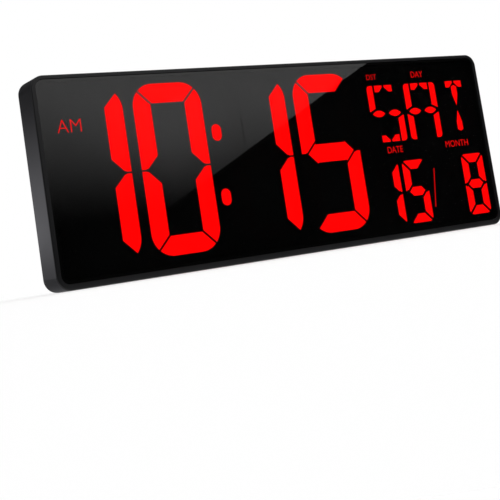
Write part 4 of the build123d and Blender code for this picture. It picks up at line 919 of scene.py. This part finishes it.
# A black flag in front keeps the panel dark below a white softbox with a slanted lower edge
FRONT = -1.2
FLAG = -1.22
FLAG_CORNERS = ((-5.0, FLAG, -1.8), (5.0, FLAG, -1.8), (5.0, FLAG, 1.4), (-5.0, FLAG, 1.4))
SOFTBOX_CORNERS = ((-0.3, FRONT, -0.281), (1.2, FRONT, 0.452), (1.2, FRONT, 1.3), (-0.3, FRONT, 1.3))
# Fades, each with from where, to where, from what and to what: the softbox is dark at its foot, and
# the height at which it is full comes down towards the middle and rises again
SOFTBOX_FOOT = 0.105
SOFTBOX_LEFT = (0.31, 0.553, 0.40, 0.29)
SOFTBOX_RIGHT = (0.553, 0.72, 0.29, 0.345)
# A cool card beside the clock that its left wall mirrors, with its two fades
SIDE_CORNERS = ((-0.75, 0.22, -0.4), (0.02, 0.54, -0.4), (0.02, 0.54, 0.8), (-0.75, 0.22, 0.8))
SIDE_RISE = (0.015, 0.06, 0.24, 1.2)
SIDE_DROP = (0.06, 0.19, 1.0, 0.07)
SIDE_TINT = "#f9f8ff"
# A white strip just over the floor, along the front, that the foot of the rim mirrors, with its fade
FOOT = -FLOOR_DROP / 2
FOOT_CORNERS = ((-0.3, -0.07, FOOT), (0.4, -0.07, FOOT), (0.4, -0.0135, FOOT), (-0.3, -0.0135, FOOT))
FOOT_FADE = (-0.06, -0.02, 0.0, 1.0)
# Camera: where it stands, which way right and up are in its picture, the picture's shift, the width of
# the sensor in millimetres, and the nearest distance that it sees
EYE = (-0.5190, -0.7590, 0.00205)
EYE_RIGHT = (0.8389, -0.5223, -0.1531)
EYE_UP = (0.0749, -0.1679, 0.983)
EYE_SHIFT = -0.22
SENSOR_WIDTH = 36.0
NEAREST = 0.01


def flat_mesh(name, corners, material):
    """One flat face of the studio."""
    mesh = bpy.data.meshes.new(name)
    mesh.from_pydata(corners, [], [list(range(len(corners)))])
    mesh.materials.append(material)
    made = bpy.data.objects.new(name, mesh)
    bpy.context.scene.collection.objects.link(made)
    return made


def ramp(value, start, end, low, high):
    """Inputs of a level that goes from low to high as a value goes from start to end."""
    return {"Value": value, "From Min": start, "From Max": end, "To Min": low, "To Max": high}


def softbox_glow(tree, place):
    """The softbox is white at the top and fades downwards, lowest in the middle."""
    across, up = place["X"], place["Z"]
    left = add_node(tree, "ShaderNodeMapRange", ramp(across, *SOFTBOX_LEFT)).outputs["Result"]
    right = add_node(tree, "ShaderNodeMapRange", ramp(across, *SOFTBOX_RIGHT)).outputs["Result"]
    full = add_node(tree, "ShaderNodeMath", {0: left, 1: right}, operation="MAXIMUM").outputs["Value"]
    level = ramp(up, SOFTBOX_FOOT, full, 0.0, 1.0)
    return add_node(tree, "ShaderNodeMapRange", level, interpolation_type="SMOOTHSTEP").outputs["Result"]


def side_glow(tree, place):
    """The side card is brightest a little above the floor."""
    rise = add_node(tree, "ShaderNodeMapRange", ramp(place["Z"], *SIDE_RISE)).outputs["Result"]
    drop = add_node(tree, "ShaderNodeMapRange", ramp(place["Z"], *SIDE_DROP)).outputs["Result"]
    return add_node(tree, "ShaderNodeMath", {0: rise, 1: drop}, operation="MULTIPLY").outputs["Value"]


def foot_glow(tree, place):
    """The strip by the floor fades away from the clock."""
    return add_node(tree, "ShaderNodeMapRange", ramp(place["Y"], *FOOT_FADE)).outputs["Result"]


def card(name, corners, tint, glow=None):
    """A studio card that only mirrors see: plain black, or a lamp with its own fades."""
    material, tree, place = new_material(name)
    level = 0.0
    if glow:
        level = glow(tree, add_node(tree, "ShaderNodeSeparateXYZ", {"Vector": place}).outputs)
    lamp = add_node(tree, "ShaderNodeEmission", {"Color": tint, "Strength": level})
    add_node(tree, "ShaderNodeOutputMaterial", {"Surface": lamp.outputs["Emission"]})
    made = flat_mesh(name, corners, material)
    made.visible_camera = False
    made.visible_diffuse = False
    made.visible_shadow = False
    made.visible_transmission = False


def studio_world(stage):
    """White where the camera, mirrors and glass look, and a plain level of light for the rest."""
    world = bpy.data.worlds.new("studio")
    world.use_nodes = True
    tree = world.node_tree
    tree.nodes.clear()
    path = add_node(tree, "ShaderNodeLightPath").outputs
    seen = path["Is Camera Ray"]
    for ray in ("Is Glossy Ray", "Is Transmission Ray"):
        either = add_node(tree, "ShaderNodeMath", {0: seen, 1: path[ray]}, operation="MAXIMUM")
        seen = either.outputs["Value"]
    level = add_node(tree, "ShaderNodeMapRange", {"Value": seen, "To Min": stage.sky, "To Max": 1.0})
    sky = add_node(
        tree, "ShaderNodeBackground", {"Color": stage.white, "Strength": level.outputs["Result"]}
    )
    add_node(tree, "ShaderNodeOutputWorld", {"Surface": sky.outputs["Background"]})
    return world


def pale_floor(stage):
    """Matt painted floor: it takes the soft shadow and shows in no mirror."""
    material, tree = new_material("pale_floor")[:2]
    paint = add_node(tree, "ShaderNodeBsdfDiffuse", {"Color": stage.floor})
    add_node(tree, "ShaderNodeOutputMaterial", {"Surface": paint.outputs["BSDF"]})
    ends = ((-1, -1), (1, -1), (1, 1), (-1, 1))
    corners = [(x * FLOOR_REACH, y * FLOOR_REACH, -FLOOR_DROP) for x, y in ends]
    floor = flat_mesh("floor", corners, material)
    floor.visible_glossy = False


def soft_sun(name, source, energy):
    """A wide sun that shines from a direction and shows in no mirror."""
    lamp = bpy.data.lights.new(name, "SUN")
    lamp.energy = energy
    lamp.angle = SUN_ANGLE
    sun = bpy.data.objects.new(name, lamp)
    sun.rotation_euler = Vector(source).to_track_quat("Z", "Y").to_euler()
    sun.visible_glossy = False
    bpy.context.scene.collection.objects.link(sun)


def matched_camera(stage):
    """The camera that sees the clock as the photograph does."""
    eye = bpy.data.cameras.new("camera")
    eye.sensor_width = SENSOR_WIDTH
    eye.lens = stage.lens
    eye.shift_y = EYE_SHIFT
    eye.clip_start = NEAREST
    camera = bpy.data.objects.new("camera", eye)
    right = Vector(EYE_RIGHT).normalized()
    up = Vector(EYE_UP)
    up = (up - right * up.dot(right)).normalized()
    turned = Matrix((right, up, right.cross(up))).transposed().to_4x4()
    camera.matrix_world = Matrix.Translation(EYE) @ turned
    bpy.context.scene.collection.objects.link(camera)
    return camera


class CLOCK_OT_stage(bpy.types.Operator):
    """Set the pale floor, the soft light, the studio cards and the camera"""

    bl_idname = "clock.stage"
    bl_label = "Studio"

    def execute(self, context):
        scene = context.scene
        stage = scene.clock_stage
        scene.view_settings.view_transform = "Standard"
        scene.world = studio_world(stage)
        pale_floor(stage)
        for name, source in SUNS.items():
            soft_sun(name, source, getattr(stage, name))
        card("front_flag", FLAG_CORNERS, stage.white)
        card("front_softbox", SOFTBOX_CORNERS, stage.white, softbox_glow)
        card("side_card", SIDE_CORNERS, srgb(SIDE_TINT), side_glow)
        card("foot_card", FOOT_CORNERS, stage.white, foot_glow)
        scene.camera = matched_camera(stage)
        return {"FINISHED"}


OPERATORS = (
    CLOCK_OT_case,
    CLOCK_OT_panel,
    CLOCK_OT_border,
    CLOCK_OT_figures,
    CLOCK_OT_words,
    CLOCK_OT_electronics,
    CLOCK_OT_back,
    CLOCK_OT_marks,
    CLOCK_OT_ribs,
    CLOCK_OT_dust_mesh,
    CLOCK_OT_stage,
)


class CLOCK_PT_build(bpy.types.Panel):
    """Lists the clock's settings and its operators"""

    bl_label = "Digital wall clock"
    bl_idname = "CLOCK_PT_build"
    bl_space_type = "VIEW_3D"
    bl_region_type = "UI"
    bl_category = "Clock"

    def draw(self, context):
        for operator in OPERATORS:
            self.layout.operator(operator.bl_idname)
        for name, kind in SETTINGS.items():
            box = self.layout.box()
            for setting in kind.__annotations__:
                box.prop(getattr(context.scene, name), setting)


def register():
    """Register the settings, operators and panel."""
    for name, kind in SETTINGS.items():
        bpy.utils.register_class(kind)
        setattr(bpy.types.Scene, name, PointerProperty(type=kind))
    for kind in OPERATORS + (CLOCK_PT_build,):
        bpy.utils.register_class(kind)


def unregister():
    """Remove what register added."""
    for kind in (CLOCK_PT_build,) + OPERATORS[::-1]:
        bpy.utils.unregister_class(kind)
    for name, kind in SETTINGS.items():
        delattr(bpy.types.Scene, name)
        bpy.utils.unregister_class(kind)


def main():
    """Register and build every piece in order."""
    register()
    for operator in OPERATORS:
        group, name = operator.bl_idname.split(".")
        getattr(getattr(bpy.ops, group), name)()


if __name__ == "__main__":
    main()
